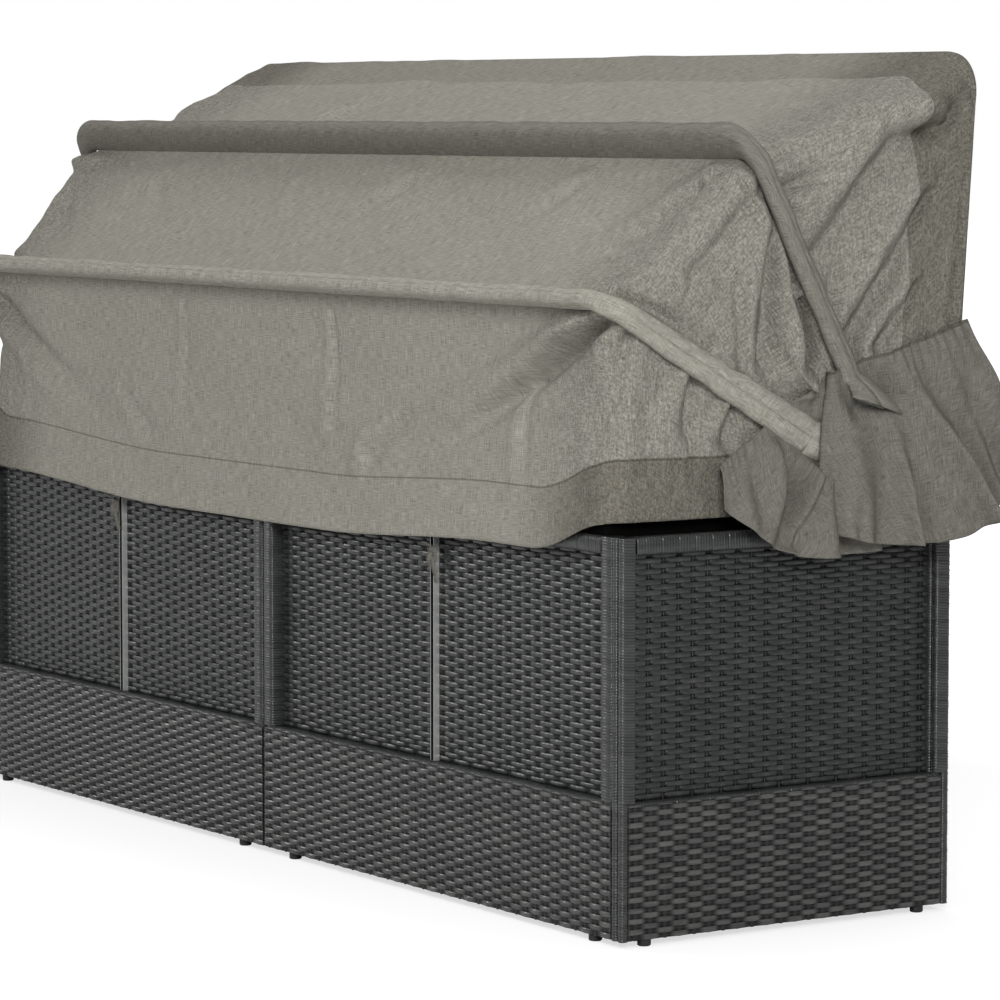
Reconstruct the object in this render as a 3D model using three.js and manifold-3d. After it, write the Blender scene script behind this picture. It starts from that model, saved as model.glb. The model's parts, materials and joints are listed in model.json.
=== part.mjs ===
// Outdoor daybed with a folding canopy: a resin-wicker bench built of two back modules
// and two end walls, with loose cushions, and a cloth canopy on three U-shaped bows that
// turn on one bolt at each end of the bench.
// Millimetres. X runs along the bench, the back is +Y, +Z is up, the floor is Z = 0.
import * as THREE from 'three';
import { mergeVertices } from 'three/addons/utils/BufferGeometryUtils.js';
import Module from 'manifold-3d';

const wasm = await Module();
wasm.setup();

// Bench, outside to outside, and its wicker walls
const benchLength = 2040;
const benchDepth = 600;
const wallHeight = 583;
const wallThickness = 28;
const bandHeight = 200;
const frontHeight = 255;
const postWidth = 27;
const railHeight = 26;
const weaveThickness = 3;
const moduleSeam = 5;
const clearance = 0.3;

// Bare square bar in the middle of each back module
const barWidth = 10;
const barRecess = 11;

// Round glides under the walls
const glideRadius = 10;
const glideHeight = 10;
const glideChamfer = 1.5;
const glideOuterInset = 57;
const glideInnerInset = 78;
const glideSideInset = 50;

// Seat frame of square tube with cross slats, and the woven deck on it
const seatTube = 25;
const slatCount = 4;
const deckThickness = 4;

// Cushions
const seatCushionThickness = 100;
const seatCushionCrown = 14;
const backCushionThickness = 120;
const backCushionHeight = 330;
const backCushionCrown = 22;
const cushionEdgeFall = 16;
const cushionDrawIn = 9;
const cushionBulge = 6;
const cushionGap = 4;
const backCushionSideGap = 30;

// Canopy bows: round tube, all turning about one axis along X
const pivotFromFront = 100;
const pivotRise = 39;
const tubeDiameter = 19;
const tubeWall = 1.5;
const tubeEndPast = 13;
const bowCorner = 60;
const armOffset = 10;
const rearReach = 605;
const middleReach = 610;
const frontReach = 648;
const rearAngle = 60;
const middleAngle = 28;
const frontAngle = -9;

// Bracket, bolt and nut at each pivot
const plateThickness = 4;
const plateClearance = 0.5;
const bracketLength = 60;
const uprightWidth = 28;
const boltDiameter = 8;
const boltHoleSlack = 0.4;
const boltHeadDiameter = 14;
const boltHeadHeight = 5;
const boltEndPast = 4;
const nutWidth = 14;
const nutHeight = 6.5;

// Cloth of the canopy and its bow sleeves
const clothThickness = 2.5;
const clothGap = 0.6;
const panelGap = 0.5;
const sleeveSlack = 0.5;
const sleeveWall = 1.5;
const sleeveDrop = 28;
const rearSleeveStart = 262;
const middleSleeveStart = 172;
const frontSleeveStart = 250;
const panelStart = 205;
const hemOut = 9;
const hemDip = 89;
const hemSideDrop = 14;
const backSag = 10;
const roofSag = 9;
const pleatDepth = 9;
const lipTop = 8;
const lipFoot = 42;

// Flounces that hang over each pivot, as two overlapping lobes
const flounceReach = 340;
const flounceFlare = 52;
const flounceWave = 9;
const lobeLayer = 6;

// Tie ribbons that hold the hem to the back bars
const ribbonWidth = 9;
const ribbonThickness = 1.2;
const ribbonLength = 92;

const pivotFromBack = benchDepth - pivotFromFront;
const pivotHeight = wallHeight + pivotRise;
const halfLength = benchLength / 2;
const halfDepth = benchDepth / 2;
const moduleStart = moduleSeam / 2;
const moduleEnd = halfLength - wallThickness - 2 * clearance;
const moduleWidth = moduleEnd - moduleStart;
const tubeRadius = tubeDiameter / 2;
const sleeveBore = tubeRadius + sleeveSlack;
const sleeveRadius = sleeveBore + sleeveWall;
const armPitch = tubeDiameter + plateThickness + 2 * plateClearance;
const middleArm = halfLength + armOffset;
const rearArm = middleArm - armPitch;
const frontArm = middleArm + armPitch;
const pivotY = halfDepth - pivotFromBack;

const wicker = new THREE.MeshStandardMaterial({ color: 0x24272a, roughness: 0.42, metalness: 0 });
const barePaint = new THREE.MeshStandardMaterial({ color: 0x2b2d2f, roughness: 0.3, metalness: 0.6 });
const glidePlastic = new THREE.MeshStandardMaterial({ color: 0x141414, roughness: 0.5, metalness: 0 });
const zincSteel = new THREE.MeshStandardMaterial({ color: 0x9a9c9e, roughness: 0.35, metalness: 0.9 });
const canopyCloth = new THREE.MeshStandardMaterial({ color: 0x77756a, roughness: 0.95, metalness: 0 });
const cushionCloth = new THREE.MeshStandardMaterial({ color: 0xb9b3a4, roughness: 0.95, metalness: 0 });

const bench = new THREE.Group();
bench.position.z = glideHeight;

function place(name, geometry, material, parent = bench) {
  const mesh = new THREE.Mesh(geometry, material);
  mesh.name = name;
  parent.add(mesh);
  return mesh;
}

// Merges shared corners and turns the faces outwards
function closedBody(geometry) {
  geometry.deleteAttribute('normal');
  geometry.deleteAttribute('uv');
  const merged = mergeVertices(geometry, clearance / 1000);
  const point = merged.attributes.position;
  const index = merged.index.array;
  const corner = [new THREE.Vector3(), new THREE.Vector3(), new THREE.Vector3()];
  let volume = 0;
  for (let i = 0; i < index.length; i += 3) {
    corner.forEach((vector, k) => vector.fromBufferAttribute(point, index[i + k]));
    volume += corner[0].dot(corner[1].cross(corner[2]));
  }
  if (volume < 0) {
    for (let i = 0; i < index.length; i += 3) {
      [index[i], index[i + 1]] = [index[i + 1], index[i]];
    }
  }
  merged.computeVertexNormals();
  return merged;
}

function toSolid(geometry) {
  const body = closedBody(geometry);
  return new wasm.Manifold(new wasm.Mesh({
    numProp: 3,
    vertProperties: new Float32Array(body.attributes.position.array),
    triVerts: new Uint32Array(body.index.array),
  }));
}

function toGeometry(solid) {
  const mesh = solid.getMesh();
  const geometry = new THREE.BufferGeometry();
  geometry.setAttribute('position', new THREE.BufferAttribute(mesh.vertProperties, 3));
  geometry.setIndex(new THREE.BufferAttribute(mesh.triVerts, 1));
  geometry.computeVertexNormals();
  return geometry;
}

function boxBetween(low, high) {
  const geometry = new THREE.BoxGeometry(high[0] - low[0], high[1] - low[1], high[2] - low[2]);
  geometry.translate((low[0] + high[0]) / 2, (low[1] + high[1]) / 2, (low[2] + high[2]) / 2);
  return geometry;
}

// A box with square openings cut right through it, all given as low and high corners
function openedBox(low, high, openings) {
  const whole = toSolid(boxBetween(low, high));
  const cut = (solid, [from, to]) => solid.subtract(toSolid(boxBetween(from, to)));
  return toGeometry(openings.reduce(cut, whole));
}

// An upright plate with windows of given left, low, right and high edges, inner face at y = 0
function windowedPlate(width, height, windows) {
  return openedBox([0, 0, 0], [width, wallThickness, height], windows.map(([x0, z0, x1, z1]) => (
    [[x0, -clearance, z0], [x1, wallThickness + clearance, z1]]
  )));
}

// Closed skin through rings of points, with a fan over each end
function loft(rings) {
  const count = rings[0].length;
  const points = rings.flat();
  const index = [];
  for (let i = 0; i + 1 < rings.length; i += 1) {
    for (let k = 0; k < count; k += 1) {
      const a = i * count + k;
      const b = i * count + ((k + 1) % count);
      index.push(a, b, b + count, a, b + count, a + count);
    }
  }
  [0, rings.length - 1].forEach((ring) => {
    const centre = new THREE.Vector3();
    rings[ring].forEach((point) => centre.addScaledVector(point, 1 / count));
    points.push(centre);
    for (let k = 0; k < count; k += 1) {
      const a = ring * count + k;
      const b = ring * count + ((k + 1) % count);
      if (ring === 0) index.push(b, a, points.length - 1);
      else index.push(a, b, points.length - 1);
    }
  });
  const geometry = new THREE.BufferGeometry().setFromPoints(points);
  geometry.setIndex(index);
  return closedBody(geometry);
}

// Wicker walls: a wrapped frame, an inner field set back from the outside, and a lower band
// flush with the outside. Each is drawn along X with its outer face at y = wallThickness.
function wickerWall(name, width, parent) {
  const left = postWidth;
  const right = width - postWidth;
  const windows = [
    [left, railHeight, right, bandHeight - railHeight],
    [left, bandHeight, right, wallHeight - railHeight],
  ];
  const [band, field] = windows;
  place(`${name[0]}_frame_${name[1]}`, windowedPlate(width, wallHeight, windows), wicker, parent);
  const inner = boxBetween(
    [field[0] + clearance, 0, field[1] + clearance],
    [field[2] - clearance, weaveThickness, field[3] - clearance],
  );
  place(`${name[0]}_upper_weave_${name[1]}`, inner, wicker, parent);
  const outer = boxBetween(
    [band[0] + clearance, wallThickness - weaveThickness, band[1] + clearance],
    [band[2] - clearance, wallThickness, band[3] - clearance],
  );
  place(`${name[0]}_lower_weave_${name[1]}`, outer, wicker, parent);
}

function backModule(side) {
  const wall = new THREE.Group();
  wall.position.set(side.sign > 0 ? moduleStart : -moduleEnd, halfDepth - wallThickness, 0);
  bench.add(wall);
  wickerWall(['back', side.name], moduleWidth, wall);
  const middle = moduleWidth / 2;
  const face = wallThickness - barRecess;
  const bar = boxBetween(
    [middle - barWidth / 2, face - barWidth, bandHeight + clearance],
    [middle + barWidth / 2, face, wallHeight - railHeight - clearance],
  );
  place(`back_centre_bar_${side.name}`, bar, barePaint, wall);
}

function endWall(side) {
  const wall = new THREE.Group();
  wall.position.set(side.sign * (halfLength - wallThickness), side.sign * halfDepth, 0);
  wall.rotation.z = (-side.sign * Math.PI) / 2;
  bench.add(wall);
  wickerWall(['side', side.name], benchDepth, wall);
}

// The low front wall has one woven field, flush with its outside
function frontWall(side) {
  const wall = new THREE.Group();
  wall.position.set(side.sign > 0 ? moduleEnd : -moduleStart, wallThickness - halfDepth, 0);
  wall.rotation.z = Math.PI;
  bench.add(wall);
  const window = [postWidth, railHeight, moduleWidth - postWidth, frontHeight - railHeight];
  const plate = windowedPlate(moduleWidth, frontHeight, [window]);
  place(`front_frame_${side.name}`, plate, wicker, wall);
  const weave = boxBetween(
    [window[0] + clearance, wallThickness - weaveThickness, window[1] + clearance],
    [window[2] - clearance, wallThickness, window[3] - clearance],
  );
  place(`front_weave_${side.name}`, weave, wicker, wall);
}

// Glides are turned pads, one under each end of each wall
function glide(name, x, y) {
  const profile = [
    new THREE.Vector2(0, -glideHeight),
    new THREE.Vector2(glideRadius - glideChamfer, -glideHeight),
    new THREE.Vector2(glideRadius, glideChamfer - glideHeight),
    new THREE.Vector2(glideRadius, -clearance),
    new THREE.Vector2(0, -clearance),
  ];
  const geometry = closedBody(new THREE.LatheGeometry(profile, 12));
  geometry.rotateX(Math.PI / 2);
  const mesh = place(name, geometry, glidePlastic);
  mesh.position.set(x, y, 0);
}

function glides(side) {
  const backY = halfDepth - wallThickness / 2;
  const outerX = side.sign * (moduleEnd - glideOuterInset);
  const innerX = side.sign * (moduleStart + glideInnerInset);
  const wallX = side.sign * (halfLength - wallThickness / 2);
  glide(`glide_back_outer_${side.name}`, outerX, backY);
  glide(`glide_back_inner_${side.name}`, innerX, backY);
  glide(`glide_front_outer_${side.name}`, outerX, -backY);
  glide(`glide_front_inner_${side.name}`, innerX, -backY);
  glide(`glide_side_rear_${side.name}`, wallX, halfDepth - glideSideInset);
  glide(`glide_side_front_${side.name}`, wallX, glideSideInset - halfDepth);
}

// Seat frame: a flat ladder of square tube between the front and back walls
function seatFrame(side) {
  const reach = halfDepth - wallThickness - clearance;
  const bay = (moduleWidth - seatTube) / (slatCount + 1);
  const low = frontHeight - seatTube;
  const bays = Array.from({ length: slatCount + 1 }, (_, i) => {
    const start = seatTube + i * bay;
    return [
      [start, seatTube - reach, low - clearance],
      [start + bay - seatTube, reach - seatTube, frontHeight + clearance],
    ];
  });
  const geometry = openedBox([0, -reach, low], [moduleWidth, reach, frontHeight], bays);
  geometry.translate(side.sign > 0 ? moduleStart : -moduleEnd, 0, 0);
  place(`seat_frame_${side.name}`, geometry, barePaint);
}

function seatDeck(side) {
  const ends = [side.sign * moduleStart, side.sign * moduleEnd].sort((a, b) => a - b);
  const deck = boxBetween(
    [ends[0], -halfDepth, frontHeight + clearance],
    [ends[1], halfDepth - wallThickness - clearance, frontHeight + clearance + deckThickness],
  );
  place(`seat_deck_${side.name}`, deck, wicker);
}

// A cushion crowned on its top face, with rounded edges and sides drawn in between corners
function cushionSolid(width, depth, thickness, crown, steps) {
  const geometry = new THREE.BoxGeometry(1, 1, 1, steps[0], steps[1], 2);
  const point = geometry.attributes.position;
  for (let i = 0; i < point.count; i += 1) {
    const sx = 2 * point.getX(i);
    const sy = 2 * point.getY(i);
    const sz = 2 * point.getZ(i);
    const round = Math.max(sx ** 8, sy ** 8);
    const waist = cushionBulge * (1 - sz * sz);
    const x = sx * (width / 2 - cushionBulge - cushionDrawIn * (1 - sy * sy) * sx * sx + waist);
    const y = sy * (depth / 2 - cushionBulge - cushionDrawIn * (1 - sx * sx) * sy * sy + waist);
    const top = thickness - cushionEdgeFall * round + crown * (1 - sx * sx) * (1 - sy * sy);
    const under = (cushionEdgeFall / 2) * round;
    point.setXYZ(i, x, y, sz > 0 ? top : sz < 0 ? under : (top + under) / 2);
  }
  return closedBody(geometry);
}

const deckTop = frontHeight + clearance + deckThickness;
const cushionX = (moduleStart + moduleEnd) / 2;
const seatCushionDepth = benchDepth - wallThickness - 2 * cushionGap;

function seatCushion(side) {
  const width = moduleWidth - 2 * cushionGap;
  const geometry = cushionSolid(width, seatCushionDepth, seatCushionThickness, seatCushionCrown, [12, 8]);
  const mesh = place(`seat_cushion_${side.name}`, geometry, cushionCloth);
  mesh.position.set(side.sign * cushionX, -wallThickness / 2, deckTop + clearance);
}

// Height of the seat cushion's crown under the front edge of a back cushion
function crownUnderBackCushion() {
  const fromMiddle = seatCushionDepth / 2 - backCushionThickness;
  return seatCushionCrown * (1 - (2 * fromMiddle / seatCushionDepth) ** 2);
}

function backCushion(side) {
  const width = moduleWidth - 2 * backCushionSideGap;
  const depth = backCushionThickness - backCushionCrown;
  const geometry = cushionSolid(width, backCushionHeight, depth, backCushionCrown, [10, 6]);
  geometry.rotateX(Math.PI / 2);
  const mesh = place(`back_cushion_${side.name}`, geometry, cushionCloth);
  const rest = deckTop + seatCushionThickness + crownUnderBackCushion() + 2 * clearance;
  mesh.position.set(
    side.sign * cushionX,
    halfDepth - wallThickness - 2 * clearance,
    rest + backCushionHeight / 2,
  );
}

// Everything of the canopy is drawn about the pivot axis: x along the bench, z up a bow that
// stands straight, and each bow in a group that leans back by its angle.
const canopy = new THREE.Group();
canopy.position.set(0, pivotY, pivotHeight);
bench.add(canopy);

// Stations along a U: up one arm, round a corner, across and down the other arm.
// share says how far a station is from the arms (0) towards the crossbar (1).
function uStations(arm, reach, corner, start, steps) {
  const half = [];
  for (let i = 0; i < steps.arm; i += 1) {
    const z = start + ((reach - corner - start) * i) / steps.arm;
    half.push({ x: -arm, z, outX: -1, outZ: 0, share: 0 });
  }
  for (let i = 0; i <= steps.corner; i += 1) {
    const turn = (Math.PI / 2) * (i / steps.corner);
    half.push({
      x: corner - arm - corner * Math.cos(turn),
      z: reach - corner + corner * Math.sin(turn),
      outX: -Math.cos(turn),
      outZ: Math.sin(turn),
      share: i / steps.corner,
    });
  }
  const mirrored = half.map((s) => ({ ...s, x: -s.x, outX: -s.outX })).reverse();
  const across = [];
  for (let i = 1; i < steps.bar; i += 1) {
    const x = (arm - corner) * ((2 * i) / steps.bar - 1);
    across.push({ x, z: reach, outX: 0, outZ: 1, share: 1 });
  }
  return [...half, ...across, ...mirrored];
}

// Round section that can be drawn out to a drop on its inner side, as a sewn sleeve is
function uTube(stations, radius, drop, sides) {
  const rings = stations.map((s) => {
    const ring = [];
    const depth = THREE.MathUtils.lerp(radius, drop, s.share * s.share);
    for (let k = 0; k < sides; k += 1) {
      const turn = (2 * Math.PI * k) / sides;
      const out = Math.cos(turn) > 0 ? radius * Math.cos(turn) : depth * Math.cos(turn);
      ring.push(new THREE.Vector3(s.x + s.outX * out, radius * Math.sin(turn), s.z + s.outZ * out));
    }
    return ring;
  });
  return loft(rings);
}

const tubeSteps = { arm: 1, corner: 4, bar: 1 };

function bowTube(arm, reach) {
  const stations = uStations(arm, reach, bowCorner, -tubeEndPast, tubeSteps);
  const outer = toSolid(uTube(stations, tubeRadius, tubeRadius, 12));
  const bore = tubeRadius - tubeWall;
  const longer = uStations(arm, reach, bowCorner, -tubeEndPast - tubeDiameter, tubeSteps);
  const inner = toSolid(uTube(longer, bore, bore, 12));
  const drill = new THREE.CylinderGeometry(
    boltDiameter / 2 + boltHoleSlack,
    boltDiameter / 2 + boltHoleSlack,
    2 * (arm + tubeDiameter),
    16,
  );
  drill.rotateZ(Math.PI / 2);
  return toGeometry(outer.subtract(inner).subtract(toSolid(drill)));
}

function sleeve(arm, reach, start, drop) {
  const outer = toSolid(uTube(uStations(arm, reach, bowCorner, start, tubeSteps), sleeveRadius, drop, 12));
  const longer = uStations(arm, reach, bowCorner, start - tubeDiameter, tubeSteps);
  return toGeometry(outer.subtract(toSolid(uTube(longer, sleeveBore, sleeveBore, 12))));
}

const bows = {
  rear: { arm: rearArm, reach: rearReach, angle: rearAngle, start: rearSleeveStart, drop: sleeveDrop },
  middle: {
    arm: middleArm, reach: middleReach, angle: middleAngle, start: middleSleeveStart, drop: sleeveDrop,
  },
  front: { arm: frontArm, reach: frontReach, angle: frontAngle, start: frontSleeveStart, drop: sleeveRadius },
};

Object.entries(bows).forEach(([name, bow]) => {
  const lean = new THREE.Group();
  lean.rotation.x = -THREE.MathUtils.degToRad(bow.angle);
  canopy.add(lean);
  place(`${name}_bow`, bowTube(bow.arm, bow.reach), zincSteel, lean);
  place(`${name}_sleeve`, sleeve(bow.arm, bow.reach, bow.start, bow.drop), canopyCloth, lean);
});

// Cloth lines: the middle of the cloth where it meets each bow, and along its hem
const clothSteps = { arm: 5, corner: 4, bar: 12 };
const clothUnder = clothThickness / 2 + clothGap;

// A bow's crossbar as a point behind and above the pivot
function crossbar(bow, reach) {
  const lean = THREE.MathUtils.degToRad(bow.angle);
  return new THREE.Vector2(reach * Math.sin(lean), reach * Math.cos(lean));
}

// The roof comes down from the front bow at a slant, so it starts higher over that sleeve
function slantOver(bow, next) {
  const radial = crossbar(bow, 1);
  const chord = crossbar(next, next.reach).sub(crossbar(bow, bow.reach)).normalize();
  return Math.abs(chord.cross(radial));
}

function clothAtBow(bow, next) {
  const off = sleeveRadius + clothUnder;
  const outside = next !== null;
  const arm = outside ? bow.arm + off : bow.arm - off;
  const over = outside ? (off + clothGap) / slantOver(bow, next) : 0;
  const reach = outside ? bow.reach + over : bow.reach - bow.drop - clothUnder;
  const corner = outside ? bowCorner + off : bowCorner - off;
  const lean = THREE.MathUtils.degToRad(bow.angle);
  return uStations(arm, reach, corner, panelStart, clothSteps).map((s) => ({
    point: new THREE.Vector3(s.x, s.z * Math.sin(lean), s.z * Math.cos(lean)),
    share: s.share,
    across: new THREE.Vector3(0, Math.cos(lean), -Math.sin(lean)),
  }));
}

function clothAtHem() {
  const off = sleeveRadius + clothUnder;
  const arm = rearArm - off;
  const reach = pivotFromBack + hemOut;
  return uStations(arm, reach, bowCorner - off, panelStart, clothSteps).map((s) => {
    const fromArm = (arm - Math.abs(s.x)) / (arm / 2);
    const dip = s.z > pivotFromBack + hemOut / 2 ? THREE.MathUtils.smoothstep(fromArm, 0, 1) : 0;
    return {
      point: new THREE.Vector3(s.x, s.z, -THREE.MathUtils.lerp(hemSideDrop, hemDip, dip)),
      share: s.share,
    };
  });
}

// Normals of a grid of points, by differences along both ways
function gridNormals(grid) {
  const rows = grid.length;
  const columns = grid[0].length;
  return grid.map((row, i) => row.map((point, j) => {
    const along = grid[i][Math.min(j + 1, columns - 1)].clone().sub(grid[i][Math.max(j - 1, 0)]);
    const down = grid[Math.min(i + 1, rows - 1)][j].clone().sub(grid[Math.max(i - 1, 0)][j]);
    return along.cross(down).normalize();
  }));
}

// Cloth as a closed solid: a grid of middle points given a thickness. An edge row that meets
// the next panel is mitred on the plane between them.
function clothSolid(grid, mitres) {
  const normals = gridNormals(grid);
  const rows = grid.length;
  const columns = grid[0].length;
  const points = [1, -1].flatMap((face) => grid.flatMap((row, i) => row.map((point, j) => {
    const normal = normals[i][j].clone();
    const plane = i === 0 ? mitres[0]?.[j] : i === rows - 1 ? mitres[1]?.[j] : null;
    if (plane) {
      normal.addScaledVector(plane, -normal.dot(plane));
      normal.divideScalar(normal.lengthSq());
    }
    return point.clone().addScaledVector(normal, (face * clothThickness) / 2);
  })));
  const at = (face, i, j) => face * rows * columns + i * columns + j;
  const index = [];
  for (let i = 0; i + 1 < rows; i += 1) {
    for (let j = 0; j + 1 < columns; j += 1) {
      const front = [at(0, i, j), at(0, i, j + 1), at(0, i + 1, j + 1), at(0, i + 1, j)];
      const back = [at(1, i, j), at(1, i + 1, j), at(1, i + 1, j + 1), at(1, i, j + 1)];
      [front, back].forEach(([a, b, c, d]) => index.push(a, c, b, a, d, c));
    }
  }
  const rim = [];
  for (let j = 0; j + 1 < columns; j += 1) rim.push([0, j, 0, j + 1]);
  for (let i = 0; i + 1 < rows; i += 1) rim.push([i, columns - 1, i + 1, columns - 1]);
  for (let j = columns - 1; j > 0; j -= 1) rim.push([rows - 1, j, rows - 1, j - 1]);
  for (let i = rows - 1; i > 0; i -= 1) rim.push([i, 0, i - 1, 0]);
  rim.forEach(([i0, j0, i1, j1]) => {
    const [a, b, c, d] = [at(0, i0, j0), at(0, i1, j1), at(1, i1, j1), at(1, i0, j0)];
    index.push(a, b, c, a, c, d);
  });
  const geometry = new THREE.BufferGeometry().setFromPoints(points);
  geometry.setIndex(index);
  return closedBody(geometry);
}

// The front edge of the cloth: a hem that stands ahead of the bow, most at its lower ends
function clothLip(line, bow) {
  const straight = bow.reach - bowCorner - panelStart;
  return line.map((s) => {
    const up = new THREE.Vector2(s.point.y, s.point.z).length() - panelStart;
    const low = Math.max(1 - up / straight, 0);
    return s.point.clone().addScaledVector(s.across, -THREE.MathUtils.lerp(lipTop, lipFoot, low));
  });
}

// A panel between two cloth lines, let sag between them, with pleats in its two sides, and
// with one more line of points ahead of the first where it has a free hem there
function clothPanel(from, to, sag, pleats, rows, lead = null) {
  const grid = [];
  for (let i = 0; i <= rows; i += 1) {
    const ease = THREE.MathUtils.smoothstep(i, 0, rows);
    grid.push(from.map((start, j) => {
      const point = start.point.clone().lerp(to[j].point, i / rows);
      point.x = THREE.MathUtils.lerp(start.point.x, to[j].point.x, ease);
      return point;
    }));
  }
  const shift = (line, way) => line.map((s, j) => {
    if (s.across) s.point = s.point.clone().addScaledVector(s.across, (way * panelGap) / 2);
    return s.point;
  });
  grid[0] = shift(from.map((s) => ({ ...s })), 1);
  grid[rows] = shift(to.map((s) => ({ ...s })), -1);
  const normals = gridNormals(grid);
  const folded = grid.map((row, i) => row.map((point, j) => {
    const down = i / rows;
    const height = j / (row.length - 1);
    const onSide = 1 - from[j].share;
    const hollow = Math.sin(Math.PI * down) * sag * (1 - onSide / 2);
    const pleat = onSide * pleatDepth * Math.sin(Math.PI * pleats * down) ** 2;
    const fade = Math.sin(Math.PI * Math.min(height, 1 - height) * 2);
    const depth = hollow + pleat * fade * Math.sin(Math.PI * down);
    return point.clone().addScaledVector(normals[i][j], -depth);
  }));
  if (lead) folded.unshift(lead);
  return clothSolid(folded, [lead ? null : from.map((s) => s.across), to.map((s) => s.across)]);
}

const clothFront = clothAtBow(bows.front, bows.middle);
const clothMiddle = clothAtBow(bows.middle, null);
const clothRear = clothAtBow(bows.rear, null);
const clothHem = clothAtHem();
const clothEdge = clothLip(clothFront, bows.front);

const frontPanel = clothPanel(clothFront, clothMiddle, roofSag, 3, 9, clothEdge);
place('canopy_front_panel', frontPanel, canopyCloth, canopy);
place('canopy_middle_panel', clothPanel(clothMiddle, clothRear, roofSag, 3, 8), canopyCloth, canopy);
place('canopy_back_panel', clothPanel(clothRear, clothHem, backSag, 2, 8), canopyCloth, canopy);

// Outlines of the flounce lobes seen from the side, as shares of flounceReach: how far
// behind and above the pivot, from the rear to the front
const rearLobeTopShares = [[0.97, 0.17], [0.83, 0.3], [0.64, 0.42], [0.49, 0.52]];
const rearLobeBottomShares = [[0.98, 0.02], [0.78, -0.1], [0.6, -0.19], [0.37, -0.21]];
const frontLobeTopShares = [[0.47, 0.53], [0.22, 0.6], [0, 0.68], [-0.24, 0.77]];
const frontLobeBottomShares = [[0.58, -0.11], [0.2, -0.19], [-0.24, -0.17], [-0.56, 0.12]];

function lobeLine(shares, depths) {
  return new THREE.CatmullRomCurve3(shares.map(([back, up], i) => (
    new THREE.Vector3(depths[i], back * flounceReach, up * flounceReach)
  )));
}

function lobe(name, side, topShares, bottomShares, topX, bottomX, waves) {
  const top = lobeLine(topShares, topX);
  const bottom = lobeLine(bottomShares, bottomX);
  const columns = 16;
  const rows = 5;
  const grid = [];
  for (let i = 0; i <= rows; i += 1) {
    const down = i / rows;
    const row = [];
    for (let j = 0; j <= columns; j += 1) {
      const along = j / columns;
      const point = top.getPoint(along).lerp(bottom.getPoint(along), down);
      point.x += flounceWave * down * (1 + Math.sin(2 * Math.PI * waves * along));
      point.x *= side.sign;
      row.push(point);
    }
    grid.push(row);
  }
  place(`${name}_${side.name}`, clothSolid(grid, []), canopyCloth, canopy);
}

function flounces(side) {
  const overRear = rearArm + sleeveRadius + clothUnder;
  const overMiddle = middleArm + sleeveRadius + clothUnder;
  const overPanel = frontArm + sleeveRadius + 2 * clothUnder + clothGap;
  const rearTop = [overRear, overRear, overRear, overRear + lobeLayer];
  const rearBottom = rearTop.map((x) => x + flounceFlare / 2);
  const frontTop = [overMiddle, overMiddle + lobeLayer, overPanel, overPanel];
  const frontBottom = frontTop.map((x) => x + flounceFlare / 2 + lobeLayer);
  lobe('flounce_rear', side, rearLobeTopShares, rearLobeBottomShares, rearTop, rearBottom, 2);
  lobe('flounce_front', side, frontLobeTopShares, frontLobeBottomShares, frontTop, frontBottom, 3);
}

// Bracket: a base plate on the end wall's top rail with two uprights between the bow arms
function bracketSolid() {
  const innerPlate = rearArm + armPitch / 2;
  const outerPlate = middleArm + armPitch / 2;
  const foot = wallHeight + clearance - pivotHeight;
  const base = toSolid(boxBetween(
    [halfLength - wallThickness, -bracketLength / 2, foot],
    [outerPlate + plateThickness / 2, bracketLength / 2, foot + plateThickness],
  ));
  const outline = new THREE.Shape();
  outline.moveTo(-uprightWidth / 2, foot + plateThickness / 2);
  outline.lineTo(-uprightWidth / 2, 0);
  outline.absarc(0, 0, uprightWidth / 2, Math.PI, 0, true);
  outline.lineTo(uprightWidth / 2, foot + plateThickness / 2);
  outline.closePath();
  let solid = base;
  [innerPlate, outerPlate].forEach((x) => {
    const plate = new THREE.ExtrudeGeometry(outline, {
      depth: plateThickness, bevelEnabled: false, curveSegments: 10,
    });
    plate.rotateX(Math.PI / 2);
    plate.rotateZ(Math.PI / 2);
    plate.translate(x - plateThickness / 2, 0, 0);
    solid = solid.add(toSolid(plate));
  });
  const drill = new THREE.CylinderGeometry(
    boltDiameter / 2 + boltHoleSlack,
    boltDiameter / 2 + boltHoleSlack,
    2 * (outerPlate + plateThickness),
    16,
  );
  drill.rotateZ(Math.PI / 2);
  return toGeometry(solid.subtract(toSolid(drill)));
}

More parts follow.
